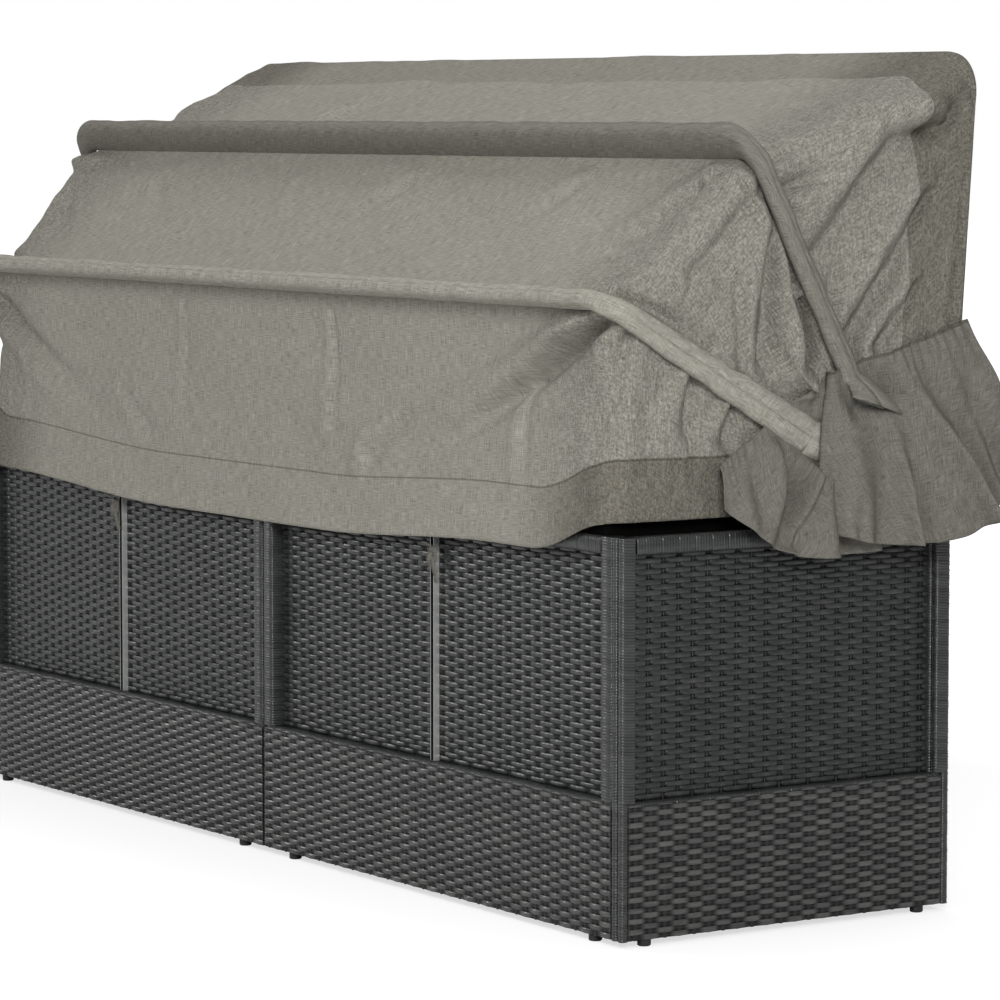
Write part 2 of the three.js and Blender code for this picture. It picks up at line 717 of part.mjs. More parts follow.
function pivotHardware(side) {
  const half = new THREE.Group();
  half.rotation.z = side.sign > 0 ? 0 : Math.PI;
  canopy.add(half);
  place(`canopy_bracket_${side.name}`, bracketSolid(), zincSteel, half);
  const headFace = rearArm - tubeRadius - plateClearance;
  const nutFace = frontArm + tubeRadius + plateClearance;
  const profile = [
    new THREE.Vector2(0, headFace - boltHeadHeight),
    new THREE.Vector2(boltHeadDiameter / 2, headFace - boltHeadHeight),
    new THREE.Vector2(boltHeadDiameter / 2, headFace),
    new THREE.Vector2(boltDiameter / 2, headFace),
    new THREE.Vector2(boltDiameter / 2, nutFace + nutHeight + boltEndPast),
    new THREE.Vector2(0, nutFace + nutHeight + boltEndPast),
  ];
  const bolt = closedBody(new THREE.LatheGeometry(profile, 12));
  bolt.rotateZ(-Math.PI / 2);
  place(`pivot_bolt_${side.name}`, bolt, zincSteel, half);
  const hexagon = new THREE.Shape();
  for (let k = 0; k < 6; k += 1) {
    const turn = (Math.PI / 3) * k;
    const radius = nutWidth / 2 / Math.cos(Math.PI / 6);
    const corner = [radius * Math.cos(turn), radius * Math.sin(turn)];
    if (k === 0) hexagon.moveTo(...corner);
    else hexagon.lineTo(...corner);
  }
  hexagon.closePath();
  const hole = new THREE.Path();
  hole.absarc(0, 0, boltDiameter / 2 + clearance, 0, 2 * Math.PI, true);
  hexagon.holes.push(hole);
  const nut = new THREE.ExtrudeGeometry(hexagon, {
    depth: nutHeight, bevelEnabled: false, curveSegments: 12,
  });
  nut.rotateY(Math.PI / 2);
  nut.translate(nutFace, 0, 0);
  place(`pivot_nut_${side.name}`, closedBody(nut), zincSteel, half);
}

// A flat ribbon from under the hem, past the rail and down beside the bar
function tieRibbon(side) {
  const top = pivotHeight - hemDip + 3 * clothGap;
  const hemOutShares = [1, 0.9, 0.6, 0.45, 0.4];
  const slideShares = [0, 0.05, 0.12, 0.1, 0.02];
  const middle = side.sign * (moduleStart + moduleWidth / 2 + barWidth);
  const rings = hemOutShares.map((out, i) => {
    const z = top - (ribbonLength * i) / (hemOutShares.length - 1);
    const x = middle + slideShares[i] * ribbonLength;
    const y = halfDepth + out * hemOut;
    return [
      new THREE.Vector3(x - ribbonWidth / 2, y - ribbonThickness / 2, z),
      new THREE.Vector3(x + ribbonWidth / 2, y - ribbonThickness / 2, z),
      new THREE.Vector3(x + ribbonWidth / 2, y + ribbonThickness / 2, z),
      new THREE.Vector3(x - ribbonWidth / 2, y + ribbonThickness / 2, z),
    ];
  });
  place(`tie_ribbon_${side.name}`, loft(rings), canopyCloth);
}

[{ name: 'left', sign: -1 }, { name: 'right', sign: 1 }].forEach((side) => {
  backModule(side);
  endWall(side);
  frontWall(side);
  glides(side);
  seatFrame(side);
  seatDeck(side);
  seatCushion(side);
  backCushion(side);
  flounces(side);
  pivotHardware(side);
  tieRibbon(side);
});

// The part stands with the middle of its outline over the origin
const group = new THREE.Group();
group.add(bench);
group.updateMatrixWorld(true);
const outline = new THREE.Box3().setFromObject(group, true);
bench.position.y = -(outline.min.y + outline.max.y) / 2;
group.updateMatrixWorld(true);

export default group;
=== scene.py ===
import json
import math

import bmesh
import bpy
import numpy as np
from mathutils import Matrix, Vector, noise
from mathutils.bvhtree import BVHTree


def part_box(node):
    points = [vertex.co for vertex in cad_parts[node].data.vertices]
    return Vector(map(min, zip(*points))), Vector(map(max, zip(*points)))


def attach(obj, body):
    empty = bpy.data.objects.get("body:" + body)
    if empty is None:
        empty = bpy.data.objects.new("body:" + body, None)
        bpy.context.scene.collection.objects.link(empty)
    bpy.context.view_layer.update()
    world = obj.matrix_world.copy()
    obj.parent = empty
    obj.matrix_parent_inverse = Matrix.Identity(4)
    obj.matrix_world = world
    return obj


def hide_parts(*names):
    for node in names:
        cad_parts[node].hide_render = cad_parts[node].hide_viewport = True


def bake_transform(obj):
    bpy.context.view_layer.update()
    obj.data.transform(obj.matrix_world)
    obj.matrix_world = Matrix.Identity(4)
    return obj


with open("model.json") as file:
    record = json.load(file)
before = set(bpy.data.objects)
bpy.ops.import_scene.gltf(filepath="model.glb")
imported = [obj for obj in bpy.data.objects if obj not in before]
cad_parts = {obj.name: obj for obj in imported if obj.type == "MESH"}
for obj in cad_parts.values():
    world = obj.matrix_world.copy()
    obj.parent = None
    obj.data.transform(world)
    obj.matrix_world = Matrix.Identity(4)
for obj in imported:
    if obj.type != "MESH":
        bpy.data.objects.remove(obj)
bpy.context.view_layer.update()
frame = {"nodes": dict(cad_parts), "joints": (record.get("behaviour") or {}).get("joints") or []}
scene = bpy.context.scene

# The view: a long lens at about seated eye height, behind the bench and off its near end, so
# that the near end wall and most of the back show.
camera_data = bpy.data.cameras.new("camera")
camera_data.lens = 160.85
camera_data.sensor_width = 36
camera_data.clip_end = 60
camera = bpy.data.objects.new("camera", camera_data)
scene.collection.objects.link(camera)
camera.location = (-6.2195, 3.9412, 1.1969)
camera.rotation_euler = Vector((0.8334, -0.5459, -0.0863)).to_track_quat("-Z", "Y").to_euler()
scene.camera = camera
scene.view_settings.view_transform = "Standard"

# Wrapped posts and rails: square steel tube wound edge to edge with flat resin strand, so
# each turn is a low rounded rib with a groove beside it, the groove darkened as painted shade.
BACK_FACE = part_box("back_frame_left")[1].y
FRONT_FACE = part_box("front_frame_left")[0].y
END_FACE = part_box("side_frame_right")[1].x
WALL_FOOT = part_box("back_frame_left")[0].z
WALL_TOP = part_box("back_frame_left")[1].z
BAND_TOP = WALL_FOOT + 0.200
POST = 0.027
RAIL = 0.026
WALL = 0.028
INSET = WALL - 0.0045
BAR_CORNER = 0.0045
RIB = 0.0007
POST_WINDING = 0.0042
RAIL_WINDING = 0.0049
SLOT = (0.0120, 0.0160)
SIDES = (("left", -1), ("right", 1))


def ease(value, low, high):
    """A smooth step from 0 at one value to 1 at another."""
    part = np.clip((value - low) / (high - low), 0, 1)
    return part * part * (3 - 2 * part)


def finished_mesh(name, bm, smooth=False):
    """Turns a bmesh into a mesh, and frees it."""
    if smooth:
        for face in bm.faces:
            face.smooth = True
    mesh = bpy.data.meshes.new(name)
    bm.to_mesh(mesh)
    bm.free()
    return mesh


def new_piece(name, bm, material, body=None, smooth=False):
    """Turns a finished bmesh into a named piece, which may ride on a body."""
    mesh = finished_mesh(name, bm, smooth)
    piece = bpy.data.objects.new(name, mesh)
    scene.collection.objects.link(piece)
    mesh.materials.append(material)
    if body:
        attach(piece, body)
    return piece


def add_copy(bm, mesh, matrix):
    """Adds a mesh to a bmesh, moved by a matrix."""
    count = len(bm.verts)
    bm.from_mesh(mesh)
    bm.verts.ensure_lookup_table()
    bmesh.ops.transform(bm, matrix=matrix, verts=bm.verts[count:])


def wrapped_bar(bm, low, high, along):
    """A bar between two corners, wound with strand; a rail shows a gap at every sixth turn."""
    low, high = Vector(low), Vector(high)
    size = high - low
    centre = (low + high) / 2
    length = size[along]
    across = [i for i in range(3) if i != along]
    bar = bmesh.new()
    painted_light = bar.verts.layers.float.new("painted_light")
    bmesh.ops.create_cube(bar, size=1)
    bmesh.ops.scale(bar, vec=size, verts=bar.verts)

    def long_edges():
        return [e for e in bar.edges if abs((e.verts[0].co - e.verts[1].co)[along]) > length / 2]

    bmesh.ops.bevel(
        bar, geom=long_edges(), offset=BAR_CORNER, segments=2, affect="EDGES", profile=0.5, material=-1
    )
    winding = POST_WINDING if along == 2 else RAIL_WINDING
    turns = max(3, round(length / winding))
    bmesh.ops.subdivide_edges(bar, edges=long_edges(), cuts=3 * turns - 1)
    step = length / (3 * turns)
    for v in bar.verts:
        ring = round((v.co[along] + length / 2) / step)
        turn, part = divmod(ring, 3)
        wobble = noise.noise(Vector((centre.x * 31 + turn * 7.3, centre.y * 17, centre.z * 23)))
        inside = 0 < ring < 3 * turns
        # Painted shade: a groove between turns is coloured darker, and the gap at every sixth turn of a
        # rail black.
        v[painted_light] = 0.25 if part == 0 else 1.0
        if part == 0:
            lift = -RIB
            if along != 2 and turn % 6 == 0:
                lift = -2.5 * RIB
                v[painted_light] = 0.0
            if inside:
                v.co[along] += wobble * 0.0006
        else:
            lift = RIB * (0.7 * wobble - 0.2)
            v.co[along] += step * (0.45 if part == 2 else -0.45)
        if inside:
            v.co[along] += (v.co[across[0]] / size[across[0]]) * winding * 0.3
        for i in across:
            reach = size[i] / 2
            v.co[i] += lift * math.copysign(min(1, abs(v.co[i]) / reach * 1.2), v.co[i])
    mesh = finished_mesh("bar", bar, smooth=True)
    add_copy(bm, mesh, Matrix.Translation(centre))
    bpy.data.meshes.remove(mesh)


def wall_frame(name, node, place, bars):
    """The wound posts and rails of a wall, drawn along X with the outside at y = WALL."""
    bm = bmesh.new()
    bm.verts.layers.float.new("painted_light")
    for low, high, along in bars:
        wrapped_bar(bm, low, high, along)
    bmesh.ops.transform(bm, matrix=place, verts=bm.verts)
    piece = new_piece(name, bm, wrapped_strand, "bench")
    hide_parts(node)


def rail(width, low, depth):
    """A rail between the posts of a wall, at a height."""
    return (POST, 0, low), (width - POST, depth, low + RAIL), 0


def three_rails(width):
    """Two rails behind the lower band, and the top rail at the wall's full thickness."""
    behind = [rail(width, low, INSET) for low in (WALL_FOOT, BAND_TOP - RAIL)]
    return behind + [rail(width, WALL_TOP - RAIL, WALL)]


def back_bars(width):
    """Two posts and three rails; the posts step in where the lower band covers them."""
    bars = []
    for x in (0, width - POST):
        bars.append(((x, 0, WALL_FOOT), (x + POST, INSET, BAND_TOP), 2))
        bars.append(((x, 0, BAND_TOP), (x + POST, WALL, WALL_TOP), 2))
    return bars + three_rails(width)


def end_bars(width):
    """As the back, but each post is a pair of wound bars with a slot between them on its edge."""
    bars = []
    for x, face in ((0, 0), (width - POST, width - POST / 2)):
        bars.append(((x, 0, WALL_FOOT), (x + POST, SLOT[0], WALL_TOP), 2))
        bars.append(((x + 0.003, 0.0115, WALL_FOOT), (x + POST - 0.003, 0.0165, WALL_TOP), 2))
        bars.append(((x, SLOT[1], BAND_TOP), (x + POST, WALL, WALL_TOP), 2))
        bars.append(((face, SLOT[1], WALL_FOOT), (face + POST / 2, WALL, BAND_TOP), 2))
        covered = x + POST / 2 if x == 0 else x
        bars.append(((covered, SLOT[1], WALL_FOOT), (covered + POST / 2, INSET, BAND_TOP), 2))
    return bars + three_rails(width)


def front_bars(width):
    """The low front wall: two posts, a foot rail behind the weave and a top rail."""
    posts = [((x, 0, WALL_FOOT), (x + POST, WALL, FRONT_TOP), 2) for x in (0, width - POST)]
    return posts + [rail(width, WALL_FOOT, INSET), rail(width, FRONT_TOP - RAIL, WALL)]


def wire(node, sockets):
    """Fills a shader node's inputs: an output is linked to one, anything else is its value."""
    for title, value in dict(sockets).items():
        if isinstance(value, bpy.types.NodeSocket):
            node.id_data.links.new(value, node.inputs[title])
        else:
            node.inputs[title].default_value = value


def shader_node(tree, kind, sockets=(), **settings):
    """Adds a shader node of a kind, with its settings and its inputs filled."""
    node = tree.nodes.new(f"ShaderNode{kind}")
    for title, value in settings.items():
        setattr(node, title, value)
    wire(node, sockets)
    return node


def colour_mix(tree, factor, first, second, blend="MIX"):
    """A blend of two colours, each given as three numbers or as the output of another node."""
    first, second = ((*c, 1) if isinstance(c, tuple) else c for c in (first, second))
    sockets = {"Factor": factor, 6: first, 7: second}
    return shader_node(tree, "Mix", sockets, data_type="RGBA", blend_type=blend).outputs[2]


def remap(tree, value, from_range, to_range=(0, 1)):
    """A value brought from one range to another."""
    sockets = {"Value": value, "From Min": from_range[0], "From Max": from_range[1]}
    sockets.update({"To Min": to_range[0], "To Max": to_range[1]})
    return shader_node(tree, "MapRange", sockets).outputs["Result"]


def stretched_noise(tree, vector, scale, detail):
    """Noise with its own scale along each axis."""
    stretch = shader_node(tree, "Mapping", {"Vector": vector, "Scale": scale})
    sockets = {"Vector": stretch.outputs["Vector"], "Scale": 1, "Detail": detail}
    return shader_node(tree, "TexNoise", sockets).outputs["Fac"]


def new_material(name):
    """A material, its node tree and its shader."""
    material = bpy.data.materials.new(name)
    material.use_nodes = True
    return material, material.node_tree, material.node_tree.nodes["Principled BSDF"]


# One pair of masks serves all resin strand: tone that changes from strand to strand, and fine
# streaks along the strand that break up its sheen
strand_wear = bpy.data.node_groups.new("strand_wear", "ShaderNodeTree")
strand_wear.interface.new_socket("Vector", in_out="INPUT", socket_type="NodeSocketVector")
for title in ("Tone", "Streak"):
    strand_wear.interface.new_socket(title, in_out="OUTPUT", socket_type="NodeSocketFloat")
entry = strand_wear.nodes.new("NodeGroupInput")
leave = strand_wear.nodes.new("NodeGroupOutput")
for title, scale, detail in (("Tone", (14, 14, 128), 2), ("Streak", (70, 70, 900), 3)):
    grain = stretched_noise(strand_wear, entry.outputs["Vector"], scale, detail)
    wire(leave, {title: remap(strand_wear, grain, (0.32, 0.68))})


def strand_material(name, dark, light):
    """Charcoal resin strand: satin on its crests, dull down between them, where its mask paints the
    colour near black as painted shade.
    """
    material, tree, shader = new_material(name)
    place = shader_node(tree, "TexCoord").outputs["Object"]
    wear = shader_node(tree, "Group", node_tree=strand_wear)
    wire(wear, {"Vector": place})
    tone, streak = wear.outputs["Tone"], wear.outputs["Streak"]
    painted_light = shader_node(tree, "Attribute", attribute_name="painted_light").outputs["Fac"]
    colour = colour_mix(tree, tone, dark, light)
    coat = remap(tree, streak, (0, 1), (1.0, 0.35))
    sheen = shader_node(tree, "Math", {0: coat, 1: painted_light}, operation="MULTIPLY")
    bump = shader_node(tree, "Bump", {"Strength": 0.4, "Distance": 0.0005, "Height": streak})
    wire(shader, {
        # Painted shade and highlight: the mask takes the colour from near black in the dips up to full
        # tone on the crests.
        "Base Color": colour_mix(tree, painted_light, (0.003, 0.0033, 0.0032), colour),
        "Specular IOR Level": 0.3,
        "Roughness": remap(tree, streak, (0, 1), (0.36, 0.56)),
        "Coat Weight": sheen.outputs[0],
        "Coat Roughness": 0.19,
        "Normal": bump.outputs["Normal"],
    })
    return material


wrapped_strand = strand_material("wrapped_strand", (0.020, 0.022, 0.021), (0.044, 0.047, 0.045))
MODULE_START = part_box("back_frame_right")[0].x
MODULE_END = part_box("back_frame_right")[1].x
MODULE_WIDTH = MODULE_END - MODULE_START
SIDE_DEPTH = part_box("side_frame_right")[1].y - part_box("side_frame_right")[0].y
FRONT_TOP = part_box("front_frame_right")[1].z
PLACES = {}
for side, sign in SIDES:
    back_x = MODULE_START if sign > 0 else -MODULE_END
    PLACES["back", side] = Matrix.Translation((back_x, BACK_FACE - WALL, 0))
    end_y = BACK_FACE if sign > 0 else FRONT_FACE
    PLACES["side", side] = Matrix.Translation((sign * (END_FACE - WALL), end_y, 0)) @ Matrix.Rotation(
        -sign * math.pi / 2, 4, "Z"
    )
    front_x = MODULE_END if sign > 0 else -MODULE_START
    PLACES["front", side] = Matrix.Translation((front_x, FRONT_FACE + WALL, 0)) @ Matrix.Rotation(
        math.pi, 4, "Z"
    )
    for wall, title, bars in (
        ("back", "back", back_bars(MODULE_WIDTH)),
        ("side", "end", end_bars(SIDE_DEPTH)),
        ("front", "front", front_bars(MODULE_WIDTH)),
    ):
        wall_frame(f"{title}_wall_posts_{side}", f"{wall}_frame_{side}", PLACES[wall, side], bars)

# Woven fields: flat resin strand in plain weave round upright stakes. The upper fields are
# open, with a small hole beside each stake that is painted near black as painted shade; the lower bands
# are beaten up tight.
STAKE_PITCH = 0.0262
ROW_PITCH = 0.0078
noise.seed_set(7)
STRAND = 0.0018
STRAND_SECTION = [(-0.57, -0.5), (-0.46, 0.36), (0, 0.5), (0.46, 0.36), (0.57, -0.5), (0, -0.5)]


def woven_field(name, node, place, left, right, low, high, face, swing, tight, fold_top, material):
    """Plain weave between two heights; face is the y of the strands' outermost bulge."""
    stakes = max(2, round((right - left) / STAKE_PITCH))
    pitch = (right - left) / stakes
    rows = max(2, round((high - low) / ROW_PITCH))
    row_height = (high - low) / rows
    steps = 6
    sides = len(STRAND_SECTION)
    middle = face - STRAND / 2 - swing
    bm = bmesh.new()
    bm.verts.layers.float.new("painted_light")
    strands = []
    for phase in (0, 1):
        strand = bmesh.new()
        painted_light = strand.verts.layers.float.new("painted_light")
        bmesh.ops.create_grid(strand, x_segments=stakes * steps, y_segments=sides, size=0.5)
        for v in strand.verts:
            x = (v.co.x + 0.5) * (right - left)
            up, out = STRAND_SECTION[round((v.co.y + 0.5) * sides) % sides]
            # Painted light: the mask is near black where the strand dips behind a stake (painted shade),
            # full where it passes over a stake (painted highlight), and lower along the strand's edges
            # (painted shade between rows).
            if tight:
                wave = math.asin(0.97 * math.sin(math.pi * (x / pitch + phase))) / math.asin(0.97)
                painted_brightness = min(1, max(0.12, 0.55 + 1.3 * wave))
            else:
                from_dip = abs((x / pitch + phase + 0.5) % 2 - 1) * pitch
                dip = 1 - ease(from_dip, 0.0012, 0.0066)
                over = 1 - ease(pitch - from_dip, 0.0008, 0.0075)
                wave = 1 - 2 * dip + 0.25 * over
                painted_brightness = max(0, 1 - 1.8 * dip) * (0.66 + 0.34 * over)
            v.co = Vector((left + x, middle + swing * wave + out * STRAND, up * row_height))
            v[painted_light] = painted_brightness * (1 if abs(up) < 0.48 else 0.4)
        for quad in strand.faces:
            quad.smooth = True
        bmesh.ops.remove_doubles(strand, verts=strand.verts, dist=0.00001)
        strands.append(finished_mesh("strand", strand))
    for row in range(rows):
        add_copy(bm, strands[row % 2], Matrix.Translation((0, 0, low + row_height * (row + 0.5))))
    for mesh in strands:
        bpy.data.meshes.remove(mesh)
    stake_width = 0.0070 if tight else 0.0036
    stake = bmesh.new()
    painted_light = stake.verts.layers.float.new("painted_light")
    bmesh.ops.create_grid(stake, x_segments=3, y_segments=rows, size=0.5)
    for v in stake.verts:
        bow = 1 - (2 * v.co.x) ** 2
        v.co = Vector((v.co.x * stake_width, 0.0008 * bow, v.co.y * (high - low - 0.0004)))
        # Painted shade: the stakes, down among the strands, take a dark colour.
        v[painted_light] = 0.2
    bmesh.ops.solidify(stake, geom=stake.faces, thickness=0.0009)
    mesh = finished_mesh("stake", stake)
    for i in range(stakes):
        add_copy(bm, mesh, Matrix.Translation((left + (i + 0.5) * pitch, middle, (low + high) / 2)))
    bpy.data.meshes.remove(mesh)
    for v in bm.verts:
        shake = noise.noise_vector(Vector((v.co.x * 26, v.co.y * 40, v.co.z * 128)))
        v.co.y += shake.y * 0.0005
        drift = noise.noise_vector(Vector((v.co.x * 9, 0, v.co.z * 12)))
        v.co.z += drift.z * 0.0010 * (1 if low < v.co.z < high else 0)
        v.co.x += drift.x * 0.0012
    if fold_top:
        for v in bm.verts:
            over = v.co.z - (high - fold_top)
            if over > 0:
                turn = over / fold_top * math.pi / 2
                radius = fold_top / (math.pi / 2)
                depth = face - v.co.y
                v.co.z = high - fold_top + (radius - depth) * math.sin(turn)
                v.co.y = face - radius + (radius - depth) * math.cos(turn)
    bmesh.ops.transform(bm, matrix=place, verts=bm.verts)
    piece = new_piece(name, bm, material, "bench")
    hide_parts(node)


open_strand = strand_material("open_strand", (0.018, 0.020, 0.0195), (0.045, 0.048, 0.046))
band_strand = strand_material("band_strand", (0.038, 0.040, 0.038), (0.088, 0.091, 0.085))
for side in ("left", "right"):
    for wall, span in (("back", MODULE_WIDTH), ("side", SIDE_DEPTH)):
        edge = POST / 2 + 0.0006 if wall == "side" else 0.0012
        woven_field(
            f"{wall}_open_weave_{side}", f"{wall}_upper_weave_{side}", PLACES[wall, side],
            POST - 0.002, span - POST + 0.002, BAND_TOP + 0.0005, WALL_TOP - RAIL + 0.001,
            0.0068, 0.0024, False, 0, open_strand,
        )
        woven_field(
            f"{wall}_band_weave_{side}", f"{wall}_lower_weave_{side}", PLACES[wall, side],
            edge, span - edge, WALL_FOOT + 0.001, BAND_TOP + 0.003,
            WALL - 0.0002, 0.0015, True, 0.012, band_strand,
        )
    woven_field(
        f"front_weave_panel_{side}", f"front_weave_{side}", PLACES["front", side],
        POST + 0.0004, MODULE_WIDTH - POST - 0.0004, WALL_FOOT + 0.001, FRONT_TOP - RAIL - 0.0004,
        WALL - 0.0002, 0.0015, True, 0, band_strand,
    )

# Canopy bows: three U-shaped steel tubes that turn on one bolt at each end of the bench. The
# cloth hides them but for their flattened ends on the bolts.
PIVOT = Vector(frame["joints"][0]["pos_m"])
TUBE = 0.0095
BOW_CORNER = 0.060
ARM_PITCH = 0.024
MIDDLE_ARM = END_FACE + 0.010
BOWS = {
    "rear": {"arm": MIDDLE_ARM - ARM_PITCH, "reach": 0.605, "lean": math.radians(60), "drop": 0.036},
    "middle": {"arm": MIDDLE_ARM, "reach": 0.610, "lean": math.radians(28), "drop": 0.048},
    "front": {"arm": MIDDLE_ARM + ARM_PITCH, "reach": 0.648, "lean": math.radians(-9), "drop": 0.0105},
}

# Canopy cloth: one sewn cover of heathered outdoor canvas, hung over the front bow and under
# the sleeves of the other two, down to a hem outside the back wall. It is cut in three
# panels along the bows, so that each folds between its own two.
ARM_STEPS = 64
CORNER_STEPS = 12
BAR_STEPS = 220
SLEEVE = 0.0125
CLOTH = 0.0012
CLOTH_START = 0.205


def bow_stations(arm, reach, corner, start):
    """Points up one arm, across and down the other: x, height up the bow, share of the turn."""
    half = [
        (arm, start + (reach - corner - start) * i / ARM_STEPS, 0.0) for i in range(ARM_STEPS)
    ]
    for i in range(CORNER_STEPS + 1):
        turn = math.pi / 2 * i / CORNER_STEPS
        across = arm - corner + corner * math.cos(turn)
        half.append((across, reach - corner + corner * math.sin(turn), i / CORNER_STEPS))
    bar = [
        ((arm - corner) * (2 * i / BAR_STEPS - 1), reach, 1.0) for i in range(1, BAR_STEPS)
    ]
    left = [(-x, up, share) for x, up, share in half]
    return np.array(left + bar + half[::-1])


def on_bow(stations, lean, ahead=0):
    """Bow stations as points in the frame, on a bow that leans back, or so far ahead of it."""
    x, up = stations[:, 0], stations[:, 1]
    return np.stack([
        x,
        PIVOT.y + up * math.sin(lean) - ahead * math.cos(lean),
        PIVOT.z + up * math.cos(lean) + ahead * math.sin(lean),
    ], axis=1)


def fold(points, plane, route, width, depth, ends):
    """How far a crease along a route of flat points lifts each point, with a soft ridge beside it."""
    flat = points[..., plane]
    nearest = np.full(flat.shape[:-1], np.inf)
    lift = np.zeros(flat.shape[:-1])
    for k, (a, b) in enumerate(zip(route[:-1], route[1:])):
        a = np.array(a)
        along = np.array(b) - a
        part = np.clip((flat - a) @ along / (along @ along), 0, 1)
        off = flat - a - part[..., None] * along
        distance = np.hypot(off[..., 0], off[..., 1])
        side = np.where(along[0] * off[..., 1] - along[1] * off[..., 0] > 0, distance, -distance)
        share = (k + part) / (len(route) - 1)
        strength = ends[0] + (ends[1] - ends[0]) * share
        spread = width * (0.7 + 0.6 * share)
        shape = 0.7 * np.exp(-(((side - 2.2 * spread) / (1.5 * spread)) ** 2))
        shape -= np.exp(-((side / spread) ** 2))
        closer = distance < nearest
        lift = np.where(closer, depth * strength * shape, lift)
        nearest = np.minimum(nearest, distance)
    return lift


def outward(grid):
    """Unit normals of a grid of points, turned away from the pivot axis."""
    normal = np.cross(np.gradient(grid, axis=0), np.gradient(grid, axis=1))
    normal /= np.linalg.norm(normal, axis=2)[..., None] + 1e-12
    middle = normal[len(grid) // 2, grid.shape[1] // 2]
    away = grid[len(grid) // 2, grid.shape[1] // 2] - np.array(PIVOT)
    return normal if middle @ away > 0 else -normal


def soft_noise(grid, scale, seed):
    """Smooth noise on a grid of points, with its own scale on each axis."""
    return np.array([[
        noise.noise(Vector((x * scale[0] + seed, y * scale[1], z * scale[2]))) for x, y, z in row
    ] for row in grid])


def cloth_piece(name, grid, material, front_hem=False, back_hem=False, plain=None):
    """A sheet of canopy cloth with a map along its threads and one that measures from its hems."""
    rows, columns = grid.shape[:2]
    bm = bmesh.new()
    bmesh.ops.create_grid(bm, x_segments=columns - 1, y_segments=rows - 1, size=0.5)
    spots = {}
    for v in bm.verts:
        spots[v] = (round((v.co.y + 0.5) * (rows - 1)), round((v.co.x + 0.5) * (columns - 1)))
        v.co = grid[spots[v]]
    flat = grid if plain is None else plain
    down = np.zeros((rows, columns))
    down[1:] = np.cumsum(np.linalg.norm(np.diff(flat, axis=0), axis=2), axis=0)
    along = np.zeros((rows, columns))
    along[:, 1:] = np.cumsum(np.linalg.norm(np.diff(flat, axis=1), axis=2), axis=1)
    along -= along[:, columns // 2][:, None]
    threads = bm.loops.layers.uv.new("threads")
    hems = bm.loops.layers.uv.new("hems")
    for face in bm.faces:
        for loop in face.loops:
            spot = spots[loop.vert]
            loop[threads].uv = (along[spot], down[spot])
            loop[hems].uv = (
                down[spot] if front_hem else 1,
                down[-1, spot[1]] - down[spot] if back_hem else 1,
            )
    bm.normal_update()
    bm.faces.ensure_lookup_table()
    middle = bm.faces[len(bm.faces) // 2]
    if middle.normal.dot(middle.calc_center_median() - PIVOT) < 0:
        bmesh.ops.reverse_faces(bm, faces=bm.faces)
    piece = new_piece(name, bm, material, smooth=True)
    wall = piece.modifiers.new("thickness", "SOLIDIFY")
    wall.thickness = CLOTH
    wall.offset = 0
    return piece


